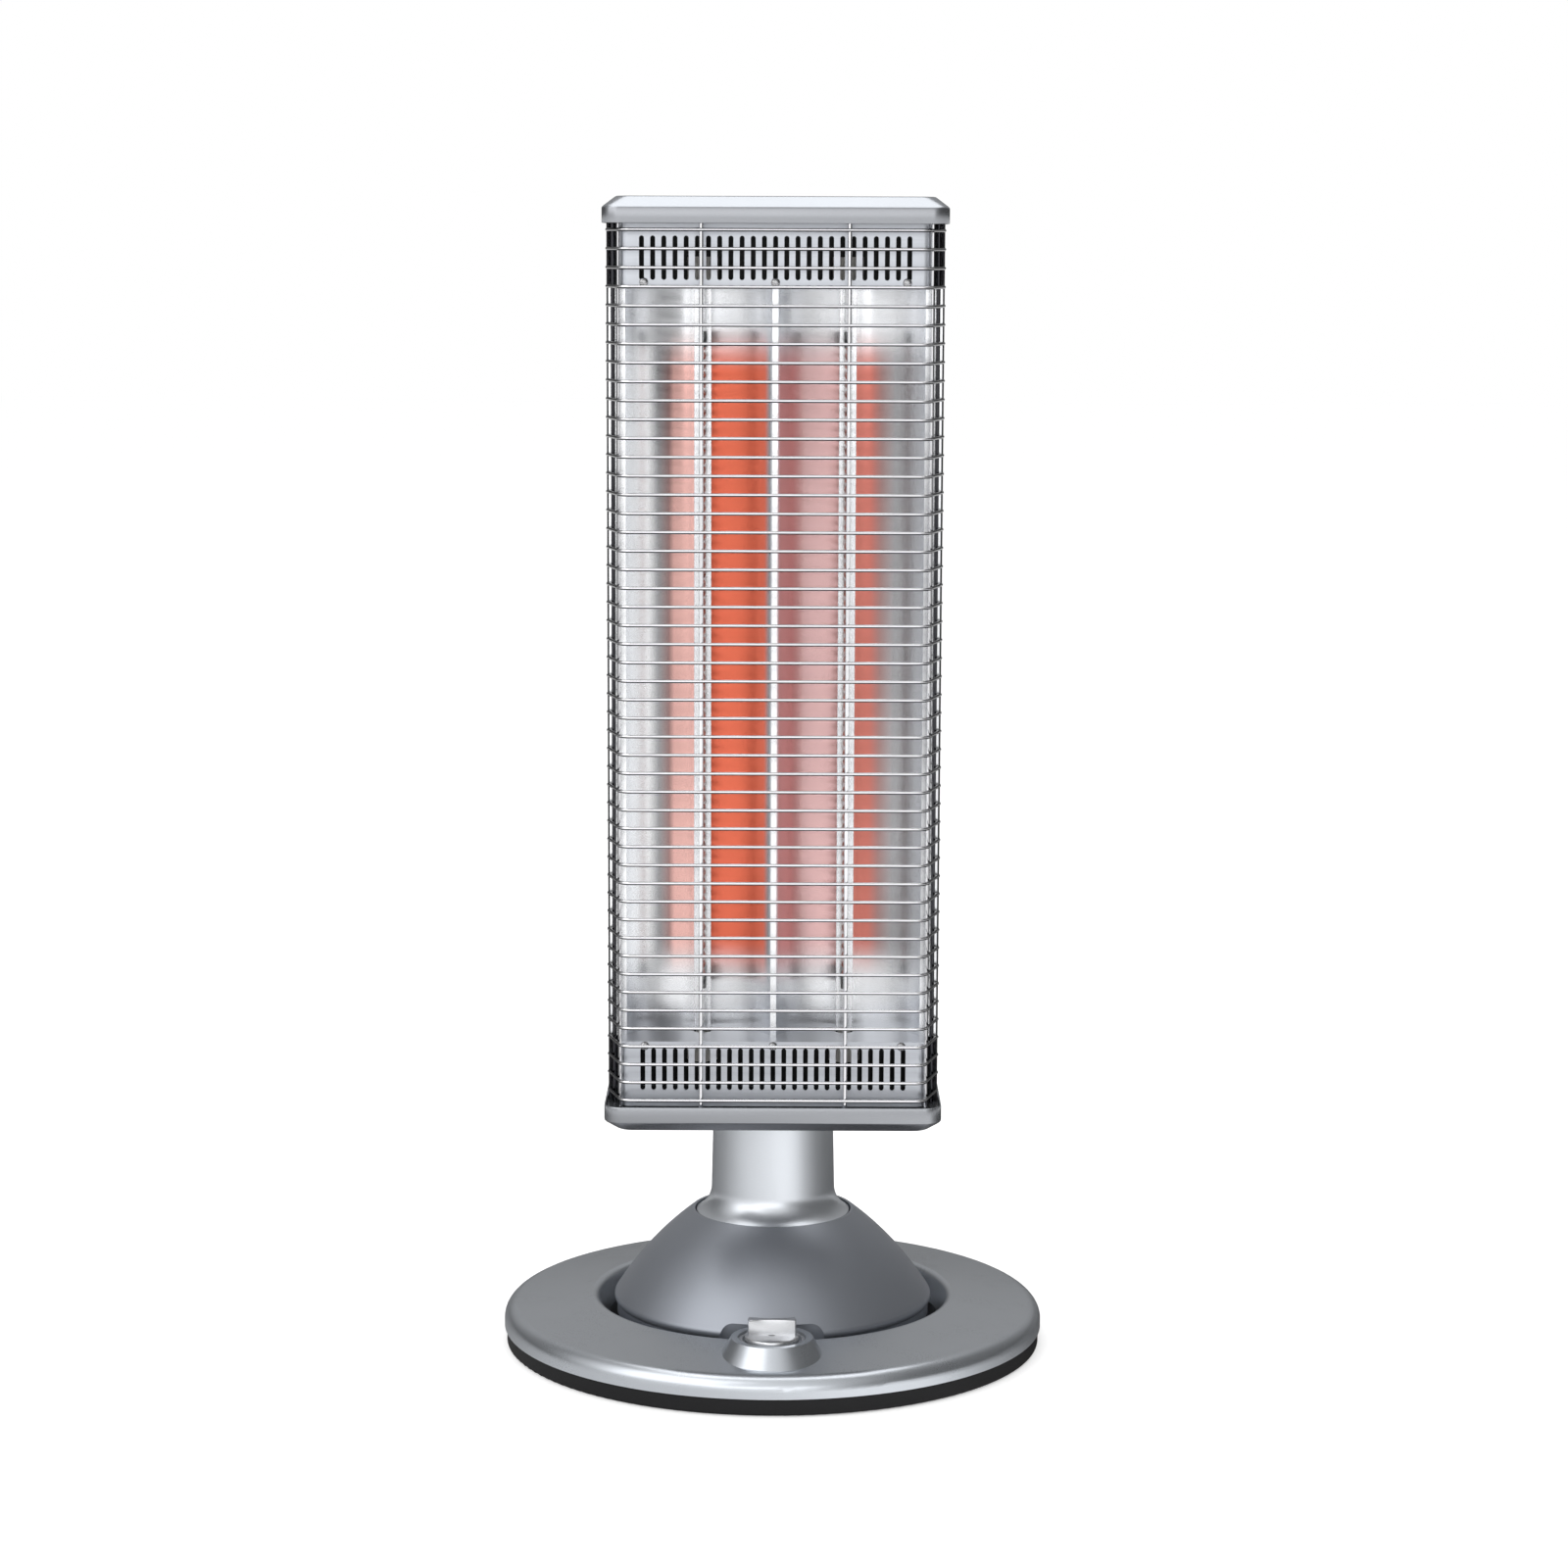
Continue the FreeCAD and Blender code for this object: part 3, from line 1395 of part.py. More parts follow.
def end_cap(label, sign):
    """Shallow tray with bevelled outer edges, open towards the middle of the head."""
    body = new_body(label)
    half = size.cap_width / 2
    back = -(size.head_back - size.free_gap - size.cap_wall)
    front = -size.head_front
    corner = size.cap_corner
    wall = size.cap_wall
    mouth = size.pivot_height + cap_mouth * sign
    straight = size.cap_height - size.cap_bevel_height
    crown = mouth + straight * sign
    outer = rounded_rectangle(new_sketch(body, "XY_Plane", mouth), -half, front, half, back, corner)
    pad(body, outer, straight, reverse=sign < 0)
    inset = size.cap_bevel
    wide = rounded_rectangle(new_sketch(body, "XY_Plane", crown), -half, front, half, back, corner)
    narrow = rounded_rectangle(new_sketch(body, "XY_Plane", mouth + size.cap_height * sign),
                               -(half - inset), front + inset, half - inset, back - inset, corner)
    bevel = body.newObject("PartDesign::AdditiveLoft", f"{label}_bevel")
    bevel.Profile = wide
    bevel.Sections = [narrow]
    bevel.Ruled = True
    doc.recompute()
    room = rounded_rectangle(new_sketch(body, "XY_Plane", mouth), -(half - wall), front + wall,
                             half - wall, back - wall, corner - wall)
    pocket(body, room, straight, reverse=sign > 0)
    deep = rounded_rectangle(new_sketch(body, "XY_Plane", crown), -(half - wall), front + wall,
                             half - wall, back - wall, corner - wall)
    roof = rounded_rectangle(new_sketch(body, "XY_Plane", mouth + (size.cap_height - wall) * sign),
                             -(half - inset - wall), front + inset + wall,
                             half - inset - wall, back - inset - wall, corner - wall)
    hollow = body.newObject("PartDesign::SubtractiveLoft", f"{label}_hollow")
    hollow.Profile = deep
    hollow.Sections = [roof]
    hollow.Ruled = True
    doc.recompute()
    finish(body, label)


def guard():
    """Bent cross wires with six flats, welded to straight uprights behind them."""
    apothem = size.wire / 2
    reach = size.wire / math.sqrt(3)
    front = -size.guard_front
    rear = -size.guard_rear
    corner = size.guard_corner
    flare = (size.guard_rear_half - size.guard_front_half) / (size.guard_front - size.guard_rear)
    body = new_body("guard_cross_wires")
    low = size.pivot_height - (cap_mouth - size.wire_inset)
    knee = size.guard_front_half + flare * corner
    path = new_sketch(body, "XY_Plane", low)
    draw(path, [
        (-size.guard_rear_half, rear),
        (-knee, front + corner),
        (-(size.guard_front_half - corner), front),
        (size.guard_front_half - corner, front),
        (knee, front + corner),
        (size.guard_rear_half, rear),
    ], closed=False)
    section = draw(new_sketch(body, "YZ_Plane"), [
        (front, low + reach),
        (front - apothem, low + reach / 2),
        (front - apothem, low - reach / 2),
        (front, low - reach),
        (front + apothem, low - reach / 2),
        (front + apothem, low + reach / 2),
    ])
    doc.recompute()
    wire = body.newObject("PartDesign::AdditivePipe", "guard_wire")
    wire.Profile = section
    wire.Spine = path
    wire.Transition = "Right corner"
    doc.recompute()
    row(body, [wire], "Z_Axis", (cap_mouth - size.wire_inset) * 2, size.wire_count)
    finish(body, "guard_cross_wires")

    thick = size.upright
    length = cap_mouth * 2 + size.case_overlap * 2
    start = size.pivot_height - cap_mouth - size.case_overlap
    uprights = [
        box(f"front_upright_{name}", thick, thick, length, x, front + apothem + thick / 2, start)
        for name, x in (("left", -size.upright_x), ("right", size.upright_x))
    ]
    lean = math.degrees(math.atan(flare.number))
    drop = (apothem + thick / 2) * root(flare * flare + 1)
    for name, share in (("near", size.side_upright_near), ("far", size.side_upright_far)):
        y = rear - (size.guard_front - size.guard_rear) * share
        x = size.guard_rear_half - (size.guard_rear_half - size.guard_front_half) * share - drop
        for side, sign in (("left", -1), ("right", 1)):
            post = doc.addObject("Part::Prism", f"{name}_upright_{side}")
            post.Polygon = 4
            bind(post, "Circumradius", thick / math.sqrt(2))
            bind(post, "Height", length)
            turn = FreeCAD.Rotation(FreeCAD.Vector(0, 0, 1), 45 - lean * sign)
            post.Placement = FreeCAD.Placement(FreeCAD.Vector(), turn)
            uprights.append(place(post, x * sign, y, start))
    finish(group("upright_group", uprights), "guard_uprights")


def heating_tubes():
    socket_start = cover_inner_edge + size.cover_sheet
    depth = size.socket_depth
    tube_half = socket_start + depth - size.free_gap
    clamps = []
    leads = []
    sockets = []
    for name, x in (("left", -size.tube_x), ("right", size.tube_x)):
        y = -size.tube_y
        z = size.pivot_height
        glass = tube(f"glass_{name}", size.quartz_radius, size.quartz_radius - size.quartz_wall,
                     tube_half * 2, x, y, z - tube_half)
        finish(glass, f"quartz_tube_{name}")
        half = size.element_length / 2
        strip = box(f"strip_{name}", size.element_width, size.element_sheet, size.element_length,
                    x, y, z - half)
        finish(strip, f"carbon_element_{name}")
        for end, sign, axis in (("top", 1, (0, 0, 1)), ("low", -1, DOWN)):
            tag = f"{end}_{name}"
            clamps.append(cylinder(f"clamp_{tag}", size.clamp_radius, size.clamp_length,
                                   x, y, z + half * sign, axis))
            start = half + size.clamp_length
            stop = socket_start + size.socket_length + size.clamp_length
            leads.append(cylinder(f"lead_{tag}", size.lead_radius, stop - start,
                                  x, y, z + start * sign, axis))
            block = cylinder(f"socket_{tag}", size.socket_radius, size.socket_length,
                             x, y, z + socket_start * sign, axis)
            seat = cylinder(f"seat_{tag}", size.quartz_radius + size.seat_gap, depth,
                            x, y, z + socket_start * sign, axis)
            eye = cylinder(f"eye_{tag}", size.lead_radius + size.seat_gap, size.socket_length,
                           x, y, z + socket_start * sign, axis)
            sockets.append(cut(f"ceramic_{tag}", block, group(f"holes_{tag}", [seat, eye])))
    finish(group("clamp_group", clamps), "element_clamps")
    finish(group("lead_group", leads), "element_leads")
    finish(group("socket_group", sockets), "ceramic_sockets")


def build():
    base_pan()
    base_cover()
    rubber_feet()
    base_screws()
    ballast_ring()
    control()
    terminals_and_inlet()
    tip_switch()
    tilt_bracket()
    dome_shell()
    dome_frame()
    tilt_pivot()
    dome_screws()
    swing_drive()
    column_shells()
    column_tube()
    stop_plate()
    rear_case()
    pivot()
    reflector()
    for label, sign in (("upper_vent_cover", 1), ("lower_vent_cover", -1)):
        vent_cover(label, sign)
    vent_screws()
    for label, sign in (("top_cap", 1), ("bottom_cap", -1)):
        end_cap(label, sign)
    guard()
    heating_tubes()
    doc.recompute()


def write():
    failed = [item.Name for item in doc.Objects if {"Invalid", "Error"} & set(item.State)]
    for item in subparts:
        if item.Shape.isNull() or not item.Shape.isValid():
            failed.append(item.Label)
    if failed:
        raise ValueError(f"failed: {failed}")
    os.makedirs("parts", exist_ok=True)
    for item in subparts:
        item.Shape.exportStep(f"parts/{item.Label}.step")
        print(item.Label, len(item.Shape.Solids), round(item.Shape.Volume))


build()
write()
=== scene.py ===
import bmesh
import bpy
import json
import math
from mathutils import Matrix, Vector


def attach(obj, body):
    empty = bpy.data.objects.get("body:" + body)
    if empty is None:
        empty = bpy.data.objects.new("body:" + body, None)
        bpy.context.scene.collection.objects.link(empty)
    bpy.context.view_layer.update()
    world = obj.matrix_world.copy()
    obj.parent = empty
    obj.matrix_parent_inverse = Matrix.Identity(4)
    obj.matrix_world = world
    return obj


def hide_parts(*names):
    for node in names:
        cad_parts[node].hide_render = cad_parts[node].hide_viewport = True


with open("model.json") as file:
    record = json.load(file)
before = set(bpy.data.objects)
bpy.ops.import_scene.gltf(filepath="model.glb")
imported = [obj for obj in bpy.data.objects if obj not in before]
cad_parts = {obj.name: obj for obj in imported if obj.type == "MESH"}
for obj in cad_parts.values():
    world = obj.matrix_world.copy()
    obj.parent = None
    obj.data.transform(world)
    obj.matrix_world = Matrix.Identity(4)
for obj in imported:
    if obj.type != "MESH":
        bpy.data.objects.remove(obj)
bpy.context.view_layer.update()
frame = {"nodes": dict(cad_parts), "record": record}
mm = 0.001
headMiddle = 425.4  # height of the head's middle and of its pivot; sizes are in millimetres
scene = bpy.context.scene
print("frame loaded:", len(frame["nodes"]), "nodes")


# helpers for node trees

def feed(tree, node, sockets):
    # gives each socket a plain value or a link from another socket
    for socket, content in sockets.items():
        if isinstance(content, bpy.types.NodeSocket):
            tree.links.new(content, node.inputs[socket])
        else:
            node.inputs[socket].default_value = content


def addNode(tree, kind, sockets=None, **settings):
    node = tree.nodes.new(kind)
    for key, value in settings.items():
        setattr(node, key, value)
    feed(tree, node, sockets or {})
    return node


def firstOf(tree, kind, sockets=None, **settings):
    return addNode(tree, kind, sockets, **settings).outputs[0]


def nodeGroup(name, kind, inputs, outputs):
    # an empty group with named sockets, what comes in and where the result goes
    tree = bpy.data.node_groups.new(name, kind)
    for label, socketKind, *value in inputs:
        socket = tree.interface.new_socket(label, in_out="INPUT", socket_type="NodeSocket" + socketKind)
        if value:
            socket.default_value = value[0]
    for label, socketKind in outputs:
        tree.interface.new_socket(label, in_out="OUTPUT", socket_type="NodeSocket" + socketKind)
    return tree, tree.nodes.new("NodeGroupInput").outputs, tree.nodes.new("NodeGroupOutput")


def mathOn(tree, operation, first, second=0.0):
    return firstOf(tree, "ShaderNodeMath", {0: first, 1: second}, operation=operation)


def rangeOn(tree, value, start, end, low=0.0, high=1.0, kind="LINEAR"):
    return firstOf(tree, "ShaderNodeMapRange", {
        "Value": value, "From Min": start, "From Max": end, "To Min": low, "To Max": high,
    }, interpolation_type=kind)


def smoothOn(tree, value, start, end, low=0.0, high=1.0):
    return rangeOn(tree, value, start, end, low, high, "SMOOTHSTEP")


def coordOn(tree, output="Object"):
    return addNode(tree, "ShaderNodeTexCoord").outputs[output]


def splitOn(tree, output):
    return addNode(tree, "ShaderNodeSeparateXYZ", {0: coordOn(tree, output)}).outputs


def raysOn(tree):
    return addNode(tree, "ShaderNodeLightPath").outputs


def noiseOn(tree, vector, scale, detail=2.0):
    return firstOf(tree, "ShaderNodeTexNoise", {"Vector": vector, "Scale": scale, "Detail": detail})


def spreadOn(tree, noise, low, high):
    return rangeOn(tree, noise, *noiseSpan, low, high)


def scaledColour(tree, colour, factor):
    return firstOf(tree, "ShaderNodeVectorMath", {0: colour, "Scale": factor}, operation="SCALE")


def mixBy(tree, factor, colour, other):
    mix = addNode(tree, "ShaderNodeMix", {"Factor": factor, 6: colour, 7: other}, data_type="RGBA")
    return mix.outputs[2]


def rampOn(tree, value, stops):
    ramp = addNode(tree, "ShaderNodeValToRGB", {"Fac": value})
    elements = ramp.color_ramp.elements
    for index, (position, colour) in enumerate(stops):
        stop = elements[index] if index < 2 else elements.new(position)
        stop.position = position
        stop.color = (*colour, 1)
    return ramp.outputs["Color"]


# surfaces that several finishes share

noiseSpan = (0.3, 0.7)  # where nearly all values of a noise lie
grainMix = {"fine": 0.6, "broad": 0.4, "broadDetail": 3.0}


def surfaceGroup(name, stretch, fineScale, broadScale):
    # colour, roughness and height that wander a little over a surface
    tree, given, outside = nodeGroup(name, "ShaderNodeTree", [
        ("Color", "Color", (0.5, 0.5, 0.5, 1)), ("Color Spread", "Float", 0.1),
        ("Roughness", "Float", 0.4), ("Roughness Spread", "Float", 0.1),
    ], [("Color", "Color"), ("Roughness", "Float"), ("Height", "Float")])
    place = coordOn(tree)
    fine = noiseOn(tree, firstOf(tree, "ShaderNodeMapping", {"Vector": place, "Scale": stretch}), fineScale)
    broad = noiseOn(tree, place, broadScale, grainMix["broadDetail"])
    blend = mathOn(tree, "ADD", mathOn(tree, "MULTIPLY", fine, grainMix["fine"]),
                   mathOn(tree, "MULTIPLY", broad, grainMix["broad"]))

    def wander(middle, spread):
        low, high = mathOn(tree, "SUBTRACT", middle, spread), mathOn(tree, "ADD", middle, spread)
        return spreadOn(tree, blend, low, high)
    feed(tree, outside, {
        "Color": scaledColour(tree, given["Color"], wander(1.0, given["Color Spread"])),
        "Roughness": wander(given["Roughness"], given["Roughness Spread"]), "Height": fine})
    return tree


surfaces = {
    "flake": surfaceGroup("metalFlakePaint", (1, 1, 1), 2600.0, 30.0),
    "mould": surfaceGroup("mouldedGrain", (1, 1, 1), 900.0, 18.0),
    "drawn": surfaceGroup("drawnMetal", (1, 1, 0.02), 1500.0, 40.0),
    "rolled": surfaceGroup("rolledSheet", (0.02, 1, 1), 1200.0, 25.0),
}


def newMaterial(name, values):
    material = bpy.data.materials.new(name)
    material.use_nodes = True
    tree = material.node_tree
    shader = tree.nodes["Principled BSDF"]
    feed(tree, shader, values)
    return material, tree, shader


def addSurface(tree, shader, group, values):
    effect = addNode(tree, "ShaderNodeGroup", values, node_tree=surfaces[group])
    feed(tree, shader, {"Base Color": effect.outputs["Color"], "Roughness": effect.outputs["Roughness"]})
    return effect


# painted, moulded and metal finishes: surface, colour, its spread, roughness, its spread, metallic,
# strength and depth of the relief, level of the gloss
finishLooks = {
    "base_silver": ("flake", (0.59, 0.62, 0.66), 0.025, 0.28, 0.01, 0.9, 0.05),
    "dome_silver": ("flake", (0.34, 0.36, 0.40), 0.03, 0.39, 0.02, 0.75, 0.05),
    "column_silver": ("flake", (0.72, 0.75, 0.79), 0.03, 0.33, 0.02, 0.9, 0.04),
    "cap_silver": ("flake", (0.45, 0.47, 0.50), 0.05, 0.25, 0.03, 0.9, 0.05),
    "case_silver": ("flake", (0.55, 0.57, 0.62), 0.06, 0.38, 0.05, 0.6, 0.12),
    "cover_silver": ("rolled", (0.53, 0.55, 0.59), 0.06, 0.34, 0.06, 0.8, 0.10),
    "knob_silver": ("flake", (0.66, 0.67, 0.69), 0.05, 0.24, 0.04, 0.85, 0.05),
    "black_plastic": ("mould", (0.009, 0.009, 0.010), 0.25, 0.55, 0.08, 0.0, 0.25, 0.05, 0.25),
    "black_rubber": ("mould", (0.016, 0.016, 0.016), 0.25, 0.75, 0.08, 0.0, 0.4),
    "cast_weight": ("mould", (0.05, 0.05, 0.05), 0.3, 0.7, 0.1, 0.6, 0.8, 0.2),
    "sheet_steel": ("rolled", (0.52, 0.52, 0.53), 0.10, 0.32, 0.08, 1.0, 0.10),
    "screw_steel": ("drawn", (0.40, 0.40, 0.41), 0.08, 0.24, 0.06, 1.0, 0.05),
    "bush_brass": ("drawn", (0.58, 0.42, 0.18), 0.10, 0.30, 0.06, 1.0, 0.05),
    "wire_chrome": ("drawn", (0.80, 0.80, 0.82), 0.04, 0.12, 0.04, 1.0),
    "clamp_metal": ("drawn", (0.03, 0.03, 0.03), 0.2, 0.5, 0.1, 0.8, 0.1),
    "lead_metal": ("drawn", (0.66, 0.66, 0.67), 0.08, 0.25, 0.06, 1.0, 0.05),
    "white_ceramic": ("mould", (0.72, 0.70, 0.66), 0.06, 0.6, 0.08, 0.0, 0.3),
}


def finishMaterial(name, group, colour, colourSpread, rough, roughSpread, metallic, relief=0.0,
                   reliefDepth=0.05, gloss=0.5):
    material, tree, shader = newMaterial(name, {"Metallic": metallic, "Specular IOR Level": gloss})
    effect = addSurface(tree, shader, group, {
        "Color": (*colour, 1), "Color Spread": colourSpread,
        "Roughness": rough, "Roughness Spread": roughSpread})
    if relief:
        bump = firstOf(tree, "ShaderNodeBump", {
            "Strength": relief, "Distance": reliefDepth * mm, "Height": effect.outputs["Height"]})
        feed(tree, shader, {"Normal": bump})
    return material


quartzLook = {"roughness": 0.06, "ior": 1.45, "hazeScale": 120.0, "hazeDetail": 3.0,
              "hazy": (0.93, 0.94, 0.95, 1), "clear": (0.98, 0.97, 0.96, 1)}


def quartzMaterial():
    q = quartzLook
    material, tree, shader = newMaterial("quartzGlass", {"Transmission Weight": 1.0, "IOR": q["ior"]})
    haze = noiseOn(tree, coordOn(tree), q["hazeScale"], q["hazeDetail"])
    feed(tree, shader, {"Roughness": spreadOn(tree, haze, 0.0, q["roughness"]),
                        "Base Color": mixBy(tree, haze, q["hazy"], q["clear"])})
    return material


emberLook = {
    "strength": 0.9, "roughness": 0.6, "weaveScale": 700.0, "weaveDetail": 3.0,
    "dark": (0.10, 0.006, 0.004), "darkEnd": 0.36, "hot": (1.0, 0.17, 0.05), "hotStart": 0.62,
    "char": (0.02, 0.01, 0.01, 1), "rust": (0.20, 0.05, 0.03, 1), "mirrorLoss": 0.8,
}


def emberMaterial():
    # glowing carbon strip with the darker flecks of its weave, dimmer in what mirrors it
    e = emberLook
    material, tree, shader = newMaterial("emberCarbon", {
        "Emission Strength": e["strength"], "Roughness": e["roughness"]})
    weave = noiseOn(tree, coordOn(tree), e["weaveScale"], e["weaveDetail"])
    heat = rampOn(tree, weave, [(e["darkEnd"], e["dark"]), (e["hotStart"], e["hot"])])
    loss = mathOn(tree, "MULTIPLY", raysOn(tree)["Is Glossy Ray"], e["mirrorLoss"])
    feed(tree, shader, {"Emission Color": scaledColour(tree, heat, mathOn(tree, "SUBTRACT", 1.0, loss)),
                        "Base Color": mixBy(tree, weave, e["char"], e["rust"])})
    return material


# painted glow and painted reflection across the two troughs: tones for the elements' warm light and the
# studio mirrored in the metal, with their glow, and the places where one tone turns into the next
mirrorLook = {
    "halfWidth": 96.0, "middle": 428.0, "glowHalf": 196.0, "glowFade": 30.0, "glow": 0.26,
    "frontLimit": 0.02, "metal": (0.82, 0.83, 0.85, 1), "roughness": 0.22, "spread": 0.02,
    "glowReflectionTones": {
        "bright": ((0.91, 0.92, 0.93), 0.6), "ridge": ((0.84, 0.84, 0.86), 0.5),
        "light": ((0.74, 0.75, 0.77), 0.2), "grey": ((0.40, 0.40, 0.41), 0.0),
        "shade": ((0.34, 0.21, 0.20), 0.25), "pink": ((0.70, 0.41, 0.37), 0.53),
        "rose": ((0.70, 0.45, 0.44), 0.5), "dull": ((0.53, 0.21, 0.20), 0.7),
        "ember": ((0.65, 0.14, 0.08), 1.0), "deep": ((0.46, 0.15, 0.12), 0.8),
    },
    "bands": [
        (-96, "bright"), (-74, "bright"), (-68, "grey"), (-62, "shade"), (-59, "pink"), (-48, "pink"),
        (-38, "ember"), (-6, "ember"), (-3.0, "grey"), (-1.3, "ridge"), (1.1, "ridge"), (2.8, "dull"),
        (10, "dull"), (17, "rose"), (36, "rose"), (47, "deep"), (56, "deep"), (62, "shade"), (70, "grey"),
        (80, "grey"), (96, "light"),
    ],
}


def mirrorMaterial():
    m = mirrorLook
    half = m["halfWidth"]
    material, tree, shader = newMaterial("mirrorSheet", {"Metallic": 1.0, "Emission Strength": 1.0})
    place, facing = splitOn(tree, "Object"), splitOn(tree, "Normal")
    across = rangeOn(tree, place["X"], -half * mm, half * mm)
    stops = [((spot + half) / (2 * half), *m["glowReflectionTones"][tone]) for spot, tone in m["bands"]]
    warm = rampOn(tree, across, [(spot, [c * heat for c in colour]) for spot, colour, heat in stops])
    # painted reflection: the same tones without their glow, used as the base colour of the lit front
    plain = rampOn(tree, across, [(spot, colour) for spot, colour, heat in stops])
    # the glow fades out towards both ends of the elements and lies on the front only
    height = mathOn(tree, "ABSOLUTE", mathOn(tree, "SUBTRACT", place["Z"], m["middle"] * mm))
    fade = smoothOn(tree, height, (m["glowHalf"] - m["glowFade"]) * mm, m["glowHalf"] * mm, 1.0, 0.0)
    lit = mathOn(tree, "MULTIPLY", fade, mathOn(tree, "LESS_THAN", facing["Y"], m["frontLimit"]))
    # the troughs show each other as plain metal
    warmth = mathOn(tree, "MULTIPLY", lit, mathOn(tree, "SUBTRACT", 1.0, raysOn(tree)["Is Glossy Ray"]))
    glow = mathOn(tree, "MULTIPLY", warmth, m["glow"])
    feed(tree, shader, {"Emission Color": scaledColour(tree, warm, glow)})
    addSurface(tree, shader, "drawn", {
        "Color": mixBy(tree, warmth, m["metal"], plain), "Color Spread": m["spread"],
        "Roughness": m["roughness"], "Roughness Spread": m["spread"]})
    return material


# painted shade laid over a finish, by the way a face looks or by its distance from the middle: mask, start
# and end of its smooth edge, colour
paintedShades = {
    # painted shade and dark reflection: the side legs and the underside of each wire are darkened in the
    # colour, for the dark room the chrome mirrors
    "wire_chrome": [("aside", 88.5 * mm, 91.0 * mm, (0.05, 0.05, 0.055)),
                    ("down", 0.0, 0.40, (0.05, 0.05, 0.055))],
    # painted shade: the faces that look forward, which are the inside of the case, are darkened to near
    # black for the shade within it
    "case_silver": [("ahead", 0.4, 0.8, (0.02, 0.02, 0.02))],
    # painted shade: the walls are darker and the faces that look down darker still, for the way light falls
    # on them
    "cap_silver": [("upright", 0.45, 0.75, (0.32, 0.33, 0.35)), ("down", 0.3, 0.6, (0.22, 0.22, 0.23))],
}
shadeMasks = {
    "aside": lambda tree: mathOn(tree, "ABSOLUTE", splitOn(tree, "Object")["X"]),
    "down": lambda tree: mathOn(tree, "MULTIPLY", splitOn(tree, "Normal")["Z"], -1.0),
    "ahead": lambda tree: mathOn(tree, "MULTIPLY", splitOn(tree, "Normal")["Y"], -1.0),
    "upright": lambda tree: mathOn(tree, "SUBTRACT", 1.0,
                                   mathOn(tree, "ABSOLUTE", splitOn(tree, "Normal")["Z"])),
}


def paintShadeOver(material, shadeLayers):
    tree = material.node_tree
    shader = tree.nodes["Principled BSDF"]
    colour = shader.inputs["Base Color"].links[0].from_socket
    # each layer darkens the colour where shade or a dark reflection would fall: painted shade
    for mask, start, end, shadeColour in shadeLayers:
        colour = mixBy(tree, smoothOn(tree, shadeMasks[mask](tree), start, end), colour, (*shadeColour, 1))
    feed(tree, shader, {"Base Color": colour})


finishes = {"quartz": quartzMaterial(), "carbon": emberMaterial(), "mirror_sheet": mirrorMaterial()}
for slotName, look in finishLooks.items():
    first, second = slotName.split("_")
    finishes[slotName] = finishMaterial(first + second.capitalize(), *look)
for slotName, shadeLayers in paintedShades.items():
    paintShadeOver(finishes[slotName], shadeLayers)
nodeSlot = {entry["node"]: entry["material_slot"] for entry in frame["record"]["subparts"]}
for nodeName, nodeObject in frame["nodes"].items():
    for part in nodeObject.material_slots:
        part.material = finishes[nodeSlot[nodeName]]
print("finishes:", len(finishes))


# helpers for pieces

def addObject(name, data):
    thing = bpy.data.objects.new(name, data)
    scene.collection.objects.link(thing)
    return thing


def settle(name, mesh, body, node, slot, sharp=32):
    # a finished piece: smooth shading, its finish, its body and the node that it stands for
    mesh.shade_smooth()
    mesh.set_sharp_from_angle(angle=math.radians(sharp))
    mesh.materials.clear()
    mesh.materials.append(finishes[slot])
    piece = addObject(name, mesh)
    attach(piece, body)
    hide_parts(node)


def nodeTree(name, inputs):
    tree, given, outside = nodeGroup(name, "GeometryNodeTree", [("Geometry", "Geometry")] + inputs,
                                     [("Geometry", "Geometry")])
    tree.is_modifier = True
    return tree, given, outside


def endTree(tree, geometry, outside, slot):
    solid = firstOf(tree, "GeometryNodeRealizeInstances", {0: geometry})
    paint = firstOf(tree, "GeometryNodeSetMaterial", {"Geometry": solid, "Material": finishes[slot]})
    feed(tree, outside, {0: paint})
    return tree


def plainTree(name, slot):
    tree, given, outside = nodeTree(name, [])
    return endTree(tree, given["Geometry"], outside, slot)


def grow(name, mesh, tree, values=None, extras=()):
    # runs a node tree and further modifiers on a mesh and returns the plain result
    holder = addObject(name, mesh)
    shape = holder.modifiers.new("shape", "NODES")
    shape.node_group = tree
    for item in tree.interface.items_tree:
        if values and item.in_out == "INPUT" and item.name in values:
            shape[item.identifier] = values[item.name]
    for kind, settings in extras:
        extra = holder.modifiers.new(kind.lower(), kind)
        for key, value in settings.items():
            setattr(extra, key, value)
    graph = bpy.context.evaluated_depsgraph_get()
    plain = bpy.data.meshes.new_from_object(holder.evaluated_get(graph))
    holder.modifiers.clear()
    bpy.data.objects.remove(holder)
    plain.name = name
    return plain


def boolean(tool, operation="DIFFERENCE"):
    return "BOOLEAN", {"object": tool, "operation": operation, "solver": "EXACT"}


def pointMesh(name, points, edges=()):
    mesh = bpy.data.meshes.new(name)
    mesh.from_pydata([(x * mm, y * mm, z * mm) for x, y, z in points], list(edges), [])
    return mesh


def meshFrom(name, builder):
    work = bmesh.new()
    builder(work)
    bmesh.ops.remove_doubles(work, verts=work.verts, dist=1e-6)
    bmesh.ops.recalc_face_normals(work, faces=work.faces)
    mesh = bpy.data.meshes.new(name)
    work.to_mesh(mesh)
    work.free()
    return mesh


def vertexRow(work, points):
    return [work.verts.new((x * mm, y * mm, z * mm)) for x, y, z in points]


def skin(work, rows, around=True):
    # faces between neighbouring rows of vertices, closed round each row or open at its ends
    for a, b in zip(rows, rows[1:]):
        for i in range(len(a) if around else len(a) - 1):
            j = (i + 1) % len(a)
            work.faces.new((a[i], a[j], b[j], b[i]))


